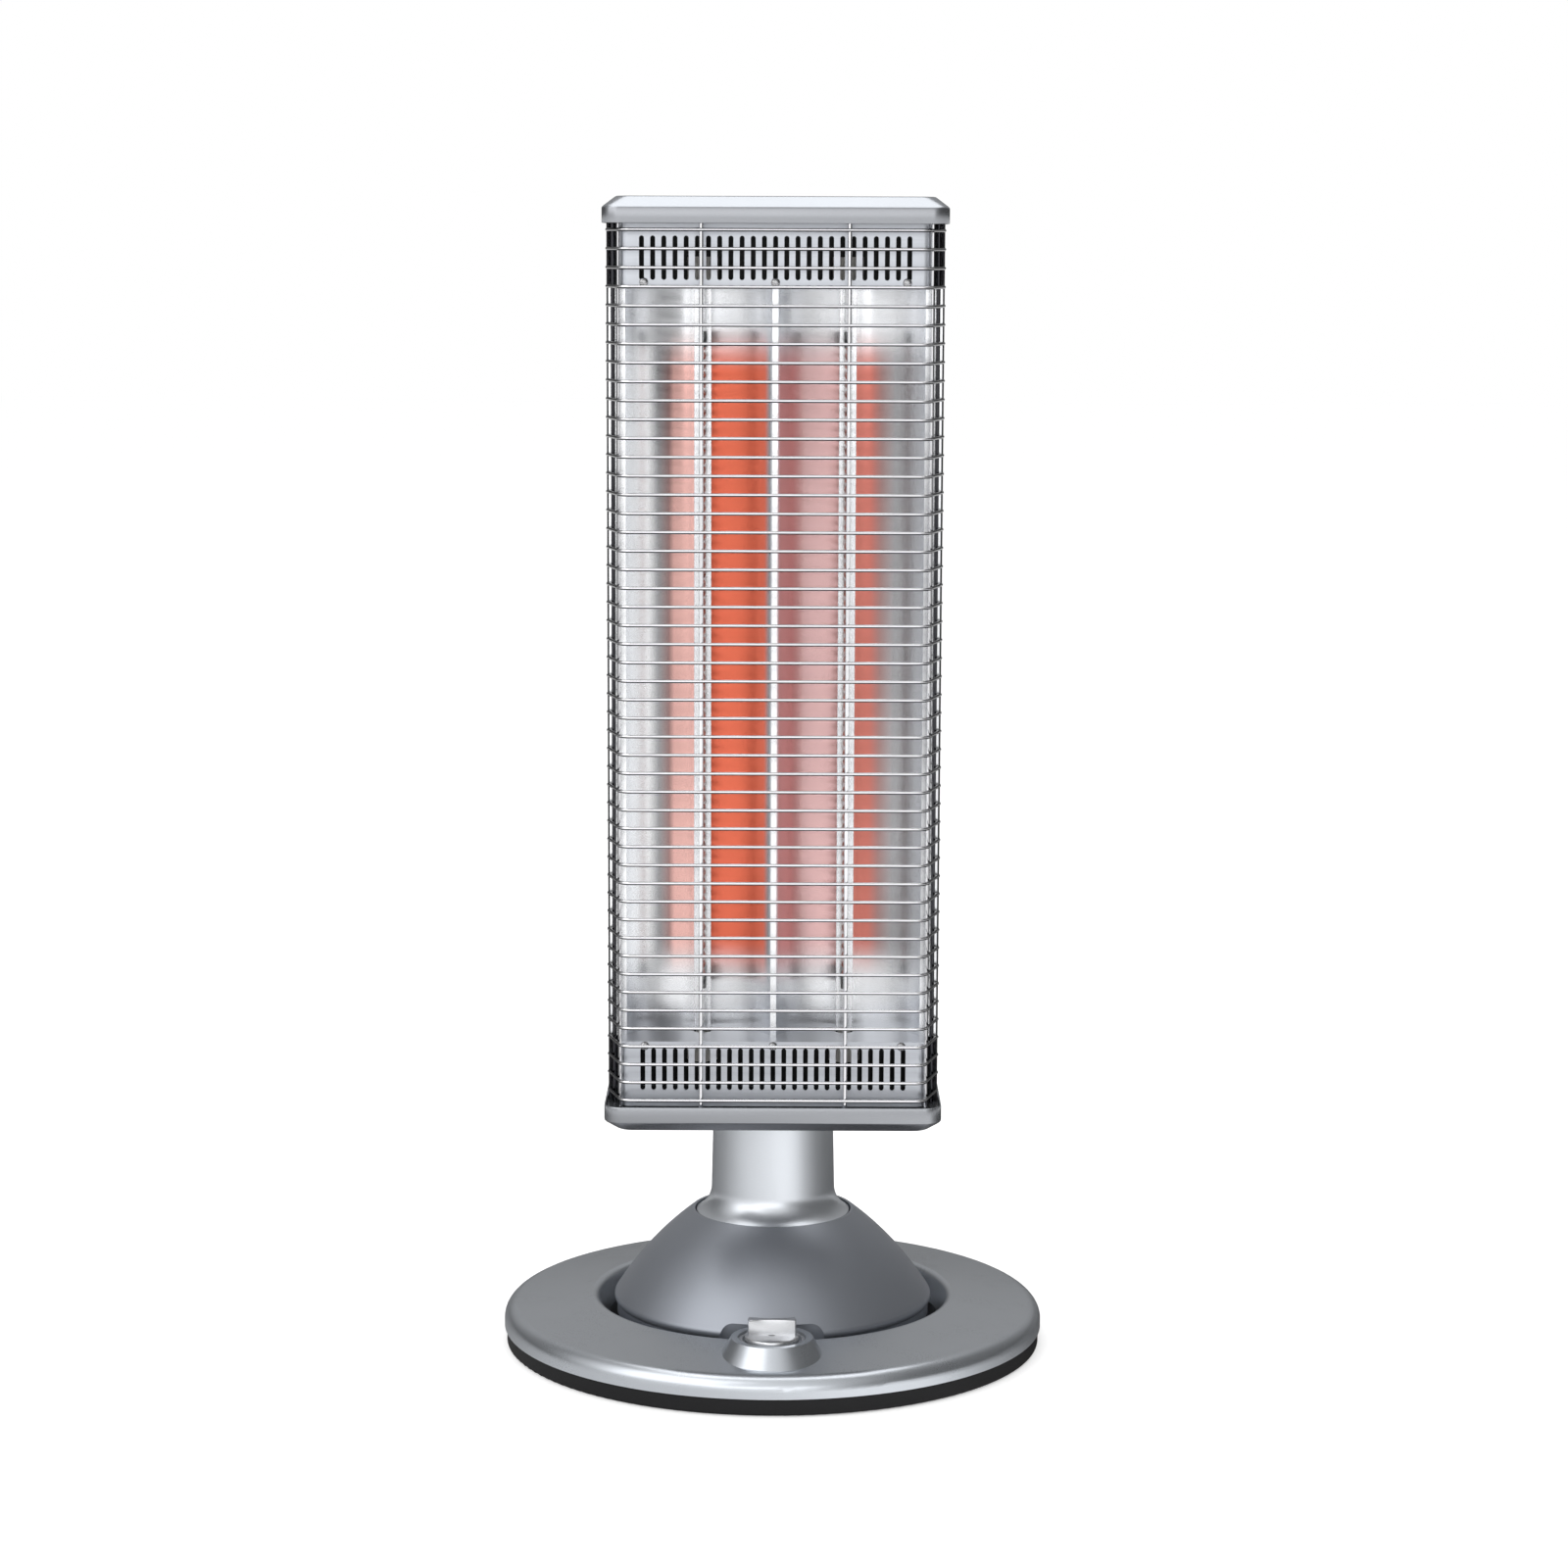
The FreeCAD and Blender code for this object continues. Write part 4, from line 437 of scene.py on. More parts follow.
def loft(work, loops):
    # skins a stack of loops of equal length and closes both ends
    rings = [vertexRow(work, loop) for loop in loops]
    skin(work, rings)
    work.faces.new(rings[0])
    work.faces.new(rings[-1])


def circle(x, y, radius, z, sides):
    turns = [2 * math.pi * i / sides for i in range(sides)]
    return [(x + radius * math.cos(turn), y + radius * math.sin(turn), z) for turn in turns]


def lathe(work, profile, x, y, sides):
    loft(work, [circle(x, y, radius, z, sides) for radius, z in profile])


def turned(name, profile, sides):
    return meshFrom(name, lambda work: lathe(work, profile, 0, 0, sides))


def loftTool(name, loops):
    return addObject(name, meshFrom(name, lambda work: loft(work, loops)))


# wire guard

guardSizes = {
    "wire": 1.0, "wireSides": 12, "upright": 1.2, "uprightSides": 16, "count": 48, "first": 174.3,
    "span": 502.2, "front": -111.5, "rear": -80.6, "frontHalf": 88.0, "rearHalf": 96.6, "bend": 7.0,
    "bendSteps": 6, "low": 167.7, "high": 683.1, "posts": [(42.0, -109.3), (93.28, -84.31), (89.59, -97.6)],
}


def guardTree():
    # one bent wire, repeated up the guard
    tree, given, outside = nodeTree("guardWires", [
        ("Wire Radius", "Float", 0.001), ("Bend Radius", "Float", 0.006), ("Wire Count", "Int", 10),
        ("Pitch", "Float", 0.01)])
    line = firstOf(tree, "GeometryNodeMeshToCurve", {0: given["Geometry"]})
    bent = firstOf(tree, "GeometryNodeFilletCurve", {
        "Curve": line, "Radius": given["Bend Radius"], "Count": guardSizes["bendSteps"]}, mode="POLY")
    section = firstOf(tree, "GeometryNodeCurvePrimitiveCircle", {
        "Resolution": guardSizes["wireSides"], "Radius": given["Wire Radius"]})
    rod = firstOf(tree, "GeometryNodeCurveToMesh", {
        "Curve": bent, "Profile Curve": section, "Fill Caps": True})
    step = firstOf(tree, "ShaderNodeCombineXYZ", {"Z": given["Pitch"]})
    ladder = firstOf(tree, "GeometryNodeMeshLine", {"Count": given["Wire Count"], "Offset": step})
    wires = firstOf(tree, "GeometryNodeInstanceOnPoints", {"Points": ladder, "Instance": rod})
    return endTree(tree, wires, outside, "wire_chrome")


def postTree():
    # a straight rod on every point
    tree, given, outside = nodeTree("guardPosts", [
        ("Rod Radius", "Float", 0.001), ("Rod Length", "Float", 0.1)])
    rod = firstOf(tree, "GeometryNodeMeshCylinder", {
        "Vertices": guardSizes["uprightSides"], "Radius": given["Rod Radius"],
        "Depth": given["Rod Length"]})
    posts = firstOf(tree, "GeometryNodeInstanceOnPoints", {"Points": given["Geometry"], "Instance": rod})
    return endTree(tree, posts, outside, "wire_chrome")


def guard():
    g = guardSizes
    corners = [(-g["rearHalf"], g["rear"]), (-g["frontHalf"], g["front"]),
               (g["frontHalf"], g["front"]), (g["rearHalf"], g["rear"])]
    path = pointMesh("guardPath", [(x, y, g["first"]) for x, y in corners], [(0, 1), (1, 2), (2, 3)])
    wires = grow("guardWires", path, guardTree(), {
        "Wire Radius": g["wire"] * mm, "Bend Radius": g["bend"] * mm,
        "Wire Count": g["count"], "Pitch": g["span"] / (g["count"] - 1) * mm})
    settle("guardWires", wires, "head", "guard_cross_wires", "wire_chrome", 50)
    middle = (g["low"] + g["high"]) / 2
    spots = pointMesh("guardSpots", [(side * x, y, middle) for x, y in g["posts"] for side in (-1, 1)])
    posts = grow("guardPosts", spots, postTree(), {
        "Rod Radius": g["upright"] * mm, "Rod Length": (g["high"] - g["low"]) * mm})
    settle("guardPosts", posts, "head", "guard_uprights", "wire_chrome", 50)


guard()
print("guard done")


# reflector: a bent mirror sheet with two troughs

reflectorSizes = {
    "front": -80.0, "half": 42.3, "bend": 46.0, "offset": 44.0, "side": 95.9, "lip": 10.0,
    "sheet": 0.8, "low": 206.5, "high": 644.3, "steps": 40,
}


def reflector():
    r = reflectorSizes
    sag = math.sqrt(r["bend"] ** 2 - r["half"] ** 2)
    sweep = math.asin(r["half"] / r["bend"])
    line = [(-r["side"], r["front"] + r["lip"]), (-r["side"], r["front"])]
    for middle in (-r["offset"], r["offset"]):
        for i in range(r["steps"] + 1):
            angle = -sweep + 2 * sweep * i / r["steps"]
            line.append((middle + r["bend"] * math.sin(angle),
                         r["front"] - sag + r["bend"] * math.cos(angle)))
    line += [(r["side"], r["front"]), (r["side"], r["front"] + r["lip"])]

    def build(work):
        skin(work, [vertexRow(work, [(x, y, z) for x, y in line]) for z in (r["low"], r["high"])], False)
    mesh = meshFrom("reflectorSheet", build)
    if mesh.polygons[r["steps"] // 2].normal.y > 0:  # a face in the first trough
        mesh.flip_normals()
    mesh = grow("reflectorSheet", mesh, plainTree("plainSheet", "mirror_sheet"),
                extras=[("SOLIDIFY", {"thickness": r["sheet"] * mm, "offset": -1.0})])
    settle("reflectorSheet", mesh, "head", "reflector", "mirror_sheet", 40)


reflector()
print("reflector done")


# heating tubes

tubeSizes = {"x": 42.0, "y": -66.0, "outer": 5.0, "inner": 4.0, "half": 228.6, "sides": 40}
stripSizes = {"half": 184.0, "width": 3.4, "thick": 0.5, "pitch": 11.0, "rings": 420}


def quartzTube(x):
    t = tubeSizes
    profile = [(radius, flip * end) for radius, flip in ((t["outer"], 1), (t["inner"], -1))
               for end in (-t["half"], t["half"])]

    def build(work):
        rings = [vertexRow(work, circle(x, t["y"], radius, headMiddle + z, t["sides"]))
                 for radius, z in profile]
        skin(work, rings + rings[:1])
    return meshFrom("quartzTube", build)


def stripTree():
    # flat strip wound round its own middle line
    tree, given, outside = nodeTree("carbonStrip", [
        ("Width", "Float", 0.003), ("Thickness", "Float", 0.0005), ("Turns", "Float", 30.0),
        ("Rings", "Int", 300)])
    line = firstOf(tree, "GeometryNodeMeshToCurve", {0: given["Geometry"]})
    fine = firstOf(tree, "GeometryNodeResampleCurve", {"Curve": line, "Count": given["Rings"]})
    along = addNode(tree, "GeometryNodeSplineParameter").outputs["Factor"]
    angle = mathOn(tree, "MULTIPLY", along, mathOn(tree, "MULTIPLY", given["Turns"], 2 * math.pi))
    twist = firstOf(tree, "GeometryNodeSetCurveTilt", {"Curve": fine, "Tilt": angle})
    section = firstOf(tree, "GeometryNodeCurvePrimitiveQuadrilateral", {
        "Width": given["Width"], "Height": given["Thickness"]})
    strip = firstOf(tree, "GeometryNodeCurveToMesh", {
        "Curve": twist, "Profile Curve": section, "Fill Caps": True})
    return endTree(tree, strip, outside, "carbon")


def heatingTubes():
    t, s = tubeSizes, stripSizes
    tree = stripTree()
    for side, x in (("left", -t["x"]), ("right", t["x"])):
        settle("quartzTube" + side.capitalize(), quartzTube(x), "head", "quartz_tube_" + side, "quartz")
        ends = [(x, t["y"], headMiddle + z) for z in (-s["half"], s["half"])]
        strip = grow("carbonStrip", pointMesh("stripLine", ends, [(0, 1)]), tree, {
            "Width": s["width"] * mm, "Thickness": s["thick"] * mm,
            "Turns": 2 * s["half"] / s["pitch"], "Rings": s["rings"]})
        settle("carbonStrip" + side.capitalize(), strip, "head", "carbon_element_" + side, "carbon")


heatingTubes()
print("heating tubes done")


# slotted end covers: one cell with a slot, repeated, then bent sides and a shelf

coverSizes = {
    "half": 89.0, "front": -98.0, "back": -80.0, "deep": -50.0, "bend": 5.0, "bendSteps": 8, "sheet": 1.0,
    "inner": 218.9, "outer": 257.4, "slot": 235.3, "slotLength": 25.0, "slotWidth": 2.8, "pitch": 6.35,
    "count": 25, "arc": 10, "weld": 0.01, "tubeHole": 5.6, "holeSides": 40,
    "shelfSide": 0.6, "shelfFront": 0.5, "shelfLift": 0.02,
}


def slotRowTree():
    # repeats a mesh along one direction and welds the copies
    tree, given, outside = nodeTree("slotRow", [
        ("Count", "Int", 3), ("Step", "Vector", (0.01, 0, 0)), ("Weld", "Float", 0.00001)])
    line = firstOf(tree, "GeometryNodeMeshLine", {"Count": given["Count"], "Offset": given["Step"]})
    cells = firstOf(tree, "GeometryNodeInstanceOnPoints", {"Points": line, "Instance": given["Geometry"]})
    loose = firstOf(tree, "GeometryNodeRealizeInstances", {0: cells})
    welded = firstOf(tree, "GeometryNodeMergeByDistance", {"Geometry": loose, "Distance": given["Weld"]})
    return endTree(tree, welded, outside, "cover_silver")


def slotCell(sign):
    # the first slot of the row with the sheet around it
    c = coverSizes
    p, w, n = c["pitch"] / 2, c["slotWidth"] / 2, c["arc"]
    s = c["slotLength"] / 2 - w
    low, high = c["inner"] - c["slot"], c["outer"] - c["slot"]
    rim, edge = [], []
    for turn, end, far in ((0, s, high), (1, -s, low)):
        flip = 1 - 2 * turn
        for i in range(n + 1):
            angle = math.pi * (turn + i / n)
            rim.append((w * math.cos(angle), end + w * math.sin(angle)))
            x = flip * p * (1 - 2 * min(max(i - 1, 0), n - 2) / (n - 2))
            edge.append((x, end if i in (0, n) else far))
    start = -c["pitch"] * (c["count"] - 1) / 2

    def build(work):
        def spots(loop):
            return [(start + x, c["front"], headMiddle + sign * (c["slot"] + z)) for x, z in loop]
        inner, outer = vertexRow(work, spots(rim)), vertexRow(work, spots(edge))
        skin(work, [outer, inner])
    return meshFrom("slotCell", build)


def coverSides(work, sign):
    # plain ends of the front, the two bends and the sides
    c = coverSizes
    s = c["slotLength"] / 2 - c["slotWidth"] / 2
    levels = [c["inner"], c["slot"] - s, c["slot"] + s, c["outer"]]
    path = [(c["pitch"] * c["count"] / 2, c["front"])]
    for i in range(c["bendSteps"] + 1):
        angle = math.radians(90 * i / c["bendSteps"])
        path.append((c["half"] - c["bend"] * (1 - math.sin(angle)),
                     c["front"] + c["bend"] * (1 - math.cos(angle))))
    path.append((c["half"], c["back"]))
    for side in (-1, 1):
        rows = [vertexRow(work, [(side * x, y, headMiddle + sign * z) for x, y in path]) for z in levels]
        skin(work, rows, False)


def coverShelf(sign):
    # flat shelf with a hole for each tube
    c = coverSizes
    x, y, z = tubeSizes["x"], tubeSizes["y"], headMiddle + sign * (c["inner"] + c["shelfLift"])
    right, front = c["half"] - c["shelfSide"], c["front"] + c["shelfFront"]
    turns = [2 * math.pi * i / c["holeSides"] for i in range(c["holeSides"])]
    turns += [math.atan2(v - y, u - x) % (2 * math.pi) for u in (0, right) for v in (front, c["deep"])]

    def reach(way, ahead, behind):
        # how far along a ray one of two opposite edges is met
        if abs(way) < 1e-9:
            return math.inf
        return (ahead if way > 0 else behind) / way

    def build(work):
        for side in (-1, 1):
            rim, edge = [], []
            for turn in sorted(turns):
                dx, dy = math.cos(turn), math.sin(turn)
                far = min(reach(dx, right - x, -x), reach(dy, c["deep"] - y, front - y))
                for loop, radius in ((rim, c["tubeHole"]), (edge, far)):
                    loop.append((side * (x + radius * dx), y + radius * dy, z))
            skin(work, [vertexRow(work, edge), vertexRow(work, rim)])
    return meshFrom("coverShelf", build)


def ventCovers():
    c = coverSizes
    row, plain = slotRowTree(), plainTree("coverSheet", "cover_silver")
    thick = [("SOLIDIFY", {"thickness": c["sheet"] * mm, "offset": -1.0, "use_even_offset": True})]
    for label, sign in (("upper", 1), ("lower", -1)):
        front = grow("slotRow", slotCell(sign), row, {
            "Count": c["count"], "Step": (c["pitch"] * mm, 0, 0), "Weld": c["weld"] * mm})

        def build(work):
            work.from_mesh(front)
            coverSides(work, sign)
        sheet = meshFrom("coverSheet", build)
        if sheet.polygons[0].normal.y > 0:
            sheet.flip_normals()
        shelf = coverShelf(sign)
        if shelf.polygons[0].normal.z * sign > 0:
            shelf.flip_normals()

        def join(work):
            work.from_mesh(grow("coverSheet", sheet, plain, extras=thick))
            work.from_mesh(grow("coverShelf", shelf, plain, extras=thick))
        settle(label + "VentCover", meshFrom(label + "VentCover", join), "head", label + "_vent_cover",
               "cover_silver", 40)


ventCovers()
print("slotted covers done")


# end caps with eased edges and a deck inside the mouth; an ease lists insets and heights along its edge

capSizes = {
    "half": 98.5, "front": -115.0, "back": -38.5, "corner": 10.0, "cornerLoss": 1.5, "mouth": 254.7,
    "wall": 1.2, "height": 15.3, "bevelHeight": 6.0, "bevel": 8.0, "deck": 3.3,
    "innerEase": [(0.0, 0.3), (-0.25, 0.05)], "rimEase": [(0.35, 0.0), (0.1, 0.12), (0.0, 0.4)],
    "shoulderEase": [(0.0, -1.0), (0.12, -0.45), (0.45, 0.02), (1.0, 0.55)],
    "crownEase": [(-1.0, -0.75), (-0.45, -0.38), (0.1, -0.12), (0.9, 0.0)],
}


def roundedLoop(half, front, back, corner, z, steps=8):
    points = []
    for x, y, first in ((half - corner, front + corner, -90), (half - corner, back - corner, 0),
                        (-half + corner, back - corner, 90), (-half + corner, front + corner, 180)):
        for i in range(steps + 1):
            angle = math.radians(first + 90 * i / steps)
            points.append((x + corner * math.cos(angle), y + corner * math.sin(angle), z))
    return points


def endCaps():
    c = capSizes
    # inset from the outline and distance from the mouth, from the deck round the rim to the crown
    steps = [(c["wall"], c["deck"])]
    for ease, inset, out in (("innerEase", c["wall"], 0.0), ("rimEase", 0.0, 0.0),
                             ("shoulderEase", 0.0, c["height"] - c["bevelHeight"]),
                             ("crownEase", c["bevel"], c["height"])):
        steps += [(inset + across, out + up) for across, up in c[ease]]
    for label, sign in (("top", 1), ("bottom", -1)):
        loops = [roundedLoop(c["half"] - inset, c["front"] + inset, c["back"] - inset,
                             c["corner"] - min(inset, c["cornerLoss"]),
                             headMiddle + sign * (c["mouth"] + out)) for inset, out in steps]
        mesh = meshFrom(label + "Cap", lambda work: loft(work, loops))
        settle(label + "Cap", mesh, "head", label + "_cap", "cap_silver", 50)


endCaps()
print("caps done")


# control knob: a disc and a grip with hollow sides

knobSizes = {
    "y": -125.0, "disc": 16.0, "low": 33.8, "lowEase": 0.5, "discTop": 37.8, "top": 47.3, "half": 13.5,
    "end": 4.5, "waist": 1.8, "nose": 0.7, "sink": 0.3, "sides": 64, "gripSteps": 20,
    "discEase": [(0.0, -1.0), (-0.3, -0.4), (-1.0, 0.0)],
    "gripEase": [(0.0, -0.7), (0.2, -0.2), (0.6, 0.0)],
}


def gripLoop(inset, z):
    k = knobSizes
    half, end, waist = k["half"] - inset, k["end"] - inset, k["waist"] - inset
    bow = (half ** 2 + (end - waist) ** 2) / (2 * (end - waist))
    points = []
    for flip in (-1, 1):
        for i in range(k["gripSteps"] + 1):
            x = flip * (-half + 2 * half * i / k["gripSteps"])
            points.append((x, flip * (waist + bow - math.sqrt(bow ** 2 - x ** 2))))
        points.append((flip * (half + k["nose"]), 0.0))
    return [(x, k["y"] + y, z) for x, y in points]


def controlKnob():
    k = knobSizes
    disc = [(k["disc"] - k["lowEase"], k["low"]), (k["disc"], k["low"] + k["lowEase"])]
    disc += [(k["disc"] + out, k["discTop"] + up) for out, up in k["discEase"]]
    grip = [gripLoop(0, k["discTop"] - k["sink"])]
    grip += [gripLoop(inset, k["top"] + up) for inset, up in k["gripEase"]]

    def build(work):
        lathe(work, disc, 0, k["y"], k["sides"])
        loft(work, grip)
    settle("controlKnob", meshFrom("controlKnob", build), "knob", "control_knob", "knob_silver", 30)


controlKnob()
print("knob done")


# column: two half shells turned from one section, the front one with the round boss of the head's pivot

columnSizes = {
    "ring": 46.7, "ringEase": 0.3, "low": 79.7, "lip": 81.3, "flare": 17.7, "neck": 37.6, "neckLow": 97.0,
    "top": 30.0, "shoulder": 440.0, "crown": 33.0, "high": 462.0, "wall": 2.5, "floor": 83.0,
    "recess": 40.3, "recessTop": 80.5, "passage": 16.3, "boss": 26.0, "bossFront": -37.0,
    "bossEase": [(0.0, 0.8), (-0.25, 0.25), (-0.8, 0.0)], "opening": 15.3, "drillLead": 2.0,
    "drillEnd": -10.0, "sides": 80, "steps": 24,
}


def arcPoints(start, end, radius, side, steps):
    (x0, y0), (x1, y1) = start, end
    dx, dy = x1 - x0, y1 - y0
    half = math.hypot(dx, dy) / 2
    rise = side * math.sqrt(radius ** 2 - half ** 2) / (2 * half)
    cx, cy = (x0 + x1) / 2 + rise * dy, (y0 + y1) / 2 - rise * dx
    first = math.atan2(y0 - cy, x0 - cx)
    sweep = (math.atan2(y1 - cy, x1 - cx) - first + math.pi) % (2 * math.pi) - math.pi
    turns = [first + sweep * i / steps for i in range(steps + 1)]
    return [(cx + radius * math.cos(turn), cy + radius * math.sin(turn)) for turn in turns]


def columnSection():
    c = columnSizes
    w, n, ease = c["wall"], c["steps"], c["ringEase"]
    line = [(c["recess"], c["low"]), (c["ring"] - ease, c["low"]), (c["ring"], c["low"] + ease)]
    line += arcPoints((c["ring"], c["lip"]), (c["neck"], c["neckLow"]), c["flare"], 1, n)
    line += arcPoints((c["top"], c["shoulder"]), (0, c["high"]), c["crown"], -1, n)
    line += arcPoints((c["top"] - w, c["shoulder"]), (0, c["high"] - w), c["crown"] - w, -1, n)[::-1]
    line += [(c["neck"] - w, c["neckLow"]), (c["neck"] - w, c["floor"]), (c["passage"], c["floor"]),
             (c["passage"], c["recessTop"]), (c["recess"], c["recessTop"])]
    return [(max(radius, 0.0), z) for radius, z in line]


def halfTurn(work, line, first, sides):
    # the closed section at every step of half a turn, first and last as end faces
    turns = [first + math.pi * i / sides for i in range(sides + 1)]
    loft(work, [[(radius * math.cos(turn), radius * math.sin(turn), z) for radius, z in line]
                for turn in turns])


def bossLoop(radius, y=None):
    # a ring round the pivot; without a depth it lies in the wall of the column
    c = columnSizes
    points = []
    for x, z, depth in circle(0, headMiddle, radius, y, c["sides"]):
        if depth is None:
            depth = -math.sqrt((c["top"] - c["wall"] / 2) ** 2 - x ** 2)
        points.append((x, depth, z))
    return points


def columnShells():
    c = columnSizes
    plain = plainTree("columnShell", "column_silver")
    boss = loftTool("pivotBoss", [bossLoop(c["boss"])] + [
        bossLoop(c["boss"] + out, c["bossFront"] + back) for out, back in c["bossEase"]])
    drill = loftTool("pivotDrill", [bossLoop(c["opening"], c["bossFront"] - c["drillLead"]),
                                    bossLoop(c["opening"], c["drillEnd"])])
    cuts = [boolean(boss, "UNION"), boolean(drill)]
    for label, first, extras in (("front", math.pi, cuts), ("rear", 0.0, [])):
        mesh = meshFrom("columnShell", lambda work: halfTurn(work, columnSection(), first, c["sides"]))
        mesh = grow("columnShell", mesh, plain, extras=extras)
        settle("column" + label.capitalize(), mesh, "column", "column_" + label, "column_silver", 32)
    for tool in (boss, drill):
        bpy.data.objects.remove(tool)


columnShells()
print("column done")


# dome: a turned shell with a crisp rolled edge, a lined alcove for the control and an inner flange

domeSizes = {
    "top": 49.6, "high": 82.0, "shoulder": 93.0, "shoulderZ": 36.0, "sideRound": 190.0, "edge": 4.5,
    "edgeZ": 30.8, "edgeTurn": 50, "low": 18.0, "wall": 2.5, "mouth": 47.8, "floor": 74.0, "flange": 34.0,
    "clear": 90.0, "notchHalf": 31.0, "notchTop": 34.5, "notchRound": 8.0, "notchSteps": 8,
    "notchBack": -89.0, "notchFront": -125.0, "screws": 4, "firstScrew": 45, "screwCircle": 42.0,
    "screwHole": 2.0, "holeSides": 24, "overrun": 1.0, "sides": 144, "steps": 24,
}


def domeLine():
    # outer section, from the lower edge up to the mouth
    d = domeSizes
    side = arcPoints((d["shoulder"], d["shoulderZ"]), (d["top"], d["high"]), d["sideRound"], -1, d["steps"])
    lean = math.atan2(side[0][0] - side[1][0], side[1][1] - side[0][1])
    start = d["shoulder"] + math.tan(lean) * (d["shoulderZ"] - d["edgeZ"])
    r, z = start - d["edge"] * math.cos(lean), d["edgeZ"] - d["edge"] * math.sin(lean)
    first = -math.radians(d["edgeTurn"])
    turns = [first + (lean - first) * i / d["steps"] for i in range(d["steps"] + 1)]
    edge = [(r + d["edge"] * math.cos(turn), z + d["edge"] * math.sin(turn)) for turn in turns]
    return [(edge[0][0], d["low"])] + edge + side


def domeCavity():
    # the outer section moved in by the wall, then round the flange and out through the mouth
    d = domeSizes
    outer, inner = domeLine(), []
    for (r0, z0), (r, z), (r1, z1) in zip(outer, outer[1:], outer[2:]):
        reach = d["wall"] / math.hypot(r1 - r0, z1 - z0)
        inner.append((r - (z1 - z0) * reach, z - (r0 - r1) * reach))
    inner = [spot for spot in inner if spot[0] > d["top"]]
    ledge = d["floor"] + d["wall"]
    return [(inner[0][0], d["low"] - d["overrun"])] + inner + [
        (d["top"], inner[-1][1]), (d["top"], d["floor"]), (d["flange"], d["floor"]), (d["flange"], ledge),
        (d["mouth"], ledge), (d["mouth"], d["clear"])]


def notchLoop(margin, y):
    d = domeSizes
    half, top, arch = d["notchHalf"] + margin, d["notchTop"] + margin, d["notchRound"] + margin
    turns = [math.pi / 2 * i / d["notchSteps"] for i in range(d["notchSteps"] + 1)]
    right = [(half - arch + arch * math.cos(turn), top - arch + arch * math.sin(turn)) for turn in turns]
    outline = [(half, 0.0)] + right + [(-x, z) for x, z in right[::-1]] + [(-half, 0.0)]
    return [(x, y, z) for x, z in outline]


def flangeHoles(work):
    d = domeSizes
    ends = (d["floor"] - d["overrun"], d["floor"] + d["wall"] + d["overrun"])
    for i in range(d["screws"]):
        angle = math.radians(d["firstScrew"] + 360 * i / d["screws"])
        lathe(work, [(d["screwHole"], z) for z in ends],
              d["screwCircle"] * math.cos(angle), d["screwCircle"] * math.sin(angle), d["holeSides"])


def domeShell():
    d = domeSizes
    plain = plainTree("domeShell", "dome_silver")
    liner, alcove = [
        loftTool(name, [notchLoop(wall, d["notchBack"] + wall), notchLoop(wall, d["notchFront"])])
        for name, wall in (("alcoveLiner", d["wall"]), ("alcove", 0.0))]
    hollow = turned("domeCavity", domeCavity(), d["sides"])
    cavity = addObject("domeCavity", grow("domeCavity", hollow, plain, extras=[boolean(liner)]))
    holes = addObject("domeDrills", meshFrom("domeDrills", flangeHoles))
    mesh = grow("domeShell", turned("domeShell", domeLine(), d["sides"]), plain,
                extras=[boolean(tool) for tool in (alcove, cavity, holes)])
    settle("domeShell", mesh, "dome", "dome_shell", "dome_silver", 32)
    for tool in (liner, alcove, cavity, holes):
        bpy.data.objects.remove(tool)


domeShell()
print("dome done")


# screws with a cross recess

screwSizes = {
    "profile": [(2.6, 0.0), (2.6, 0.45), (2.45, 0.8), (2.1, 1.15), (1.5, 1.45), (0.8, 1.58), (0.05, 1.6)],
    "sides": 32, "arm": 0.55, "reach": 1.7, "recess": 0.85, "taper": 0.75, "clear": 0.3,
    "ventAcross": (-75, 0, 75), "ventUp": 221.5,
    "baseCircle": 128.0, "baseFirst": 18, "baseCount": 5, "baseZ": 2.0,
}


def crossScrew():
    # head along +Z with its recess cut out
    s = screwSizes
    top = s["profile"][-1][1]
    a, r = s["arm"] / 2, s["reach"]
    arm, cross = [(r, -a), (r, a), (a, a)], []
    for quarter in range(4):
        cross += arm
        arm = [(-y, x) for x, y in arm]
    ends = ((s["taper"], top - s["recess"]), (1.0, top + s["clear"]))
    tool = loftTool("recess", [[(x * share, y * share, z) for x, y in cross] for share, z in ends])
    mesh = grow("screwHead", turned("screwHead", s["profile"], s["sides"]),
                plainTree("screwHead", "screw_steel"), extras=[boolean(tool)])
    bpy.data.objects.remove(tool)
    return mesh


def screwTree():
    # a screw on every point, turned the same way
    tree, given, outside = nodeTree("screws", [("Turn", "Vector", (0, 0, 0)), ("Screw", "Object")])
    screw = addNode(tree, "GeometryNodeObjectInfo", {"Object": given["Screw"]}).outputs["Geometry"]
    screws = firstOf(tree, "GeometryNodeInstanceOnPoints", {
        "Points": given["Geometry"], "Instance": screw, "Rotation": given["Turn"]})
    return endTree(tree, screws, outside, "screw_steel")


def crossScrews():
    s = screwSizes
    screw = addObject("crossScrew", crossScrew())
    tree = screwTree()
    ventSpots = [(x, coverSizes["front"], headMiddle + z)
                 for x in s["ventAcross"] for z in (-s["ventUp"], s["ventUp"])]
    baseSpots = []
    for i in range(s["baseCount"]):
        angle = math.radians(s["baseFirst"] + 360 * i / s["baseCount"])
        baseSpots.append((s["baseCircle"] * math.cos(angle), s["baseCircle"] * math.sin(angle), s["baseZ"]))
    for name, spots, turn, body, node in (
            ("ventScrews", ventSpots, (math.pi / 2, 0, 0), "head", "vent_screws"),
            ("baseScrews", baseSpots, (math.pi, 0, 0), "base", "base_screws")):
        mesh = grow(name, pointMesh(name, spots), tree, {"Turn": turn, "Screw": screw})
        settle(name, mesh, body, node, "screw_steel", 35)
    bpy.data.objects.remove(screw)


crossScrews()
print("screws done")


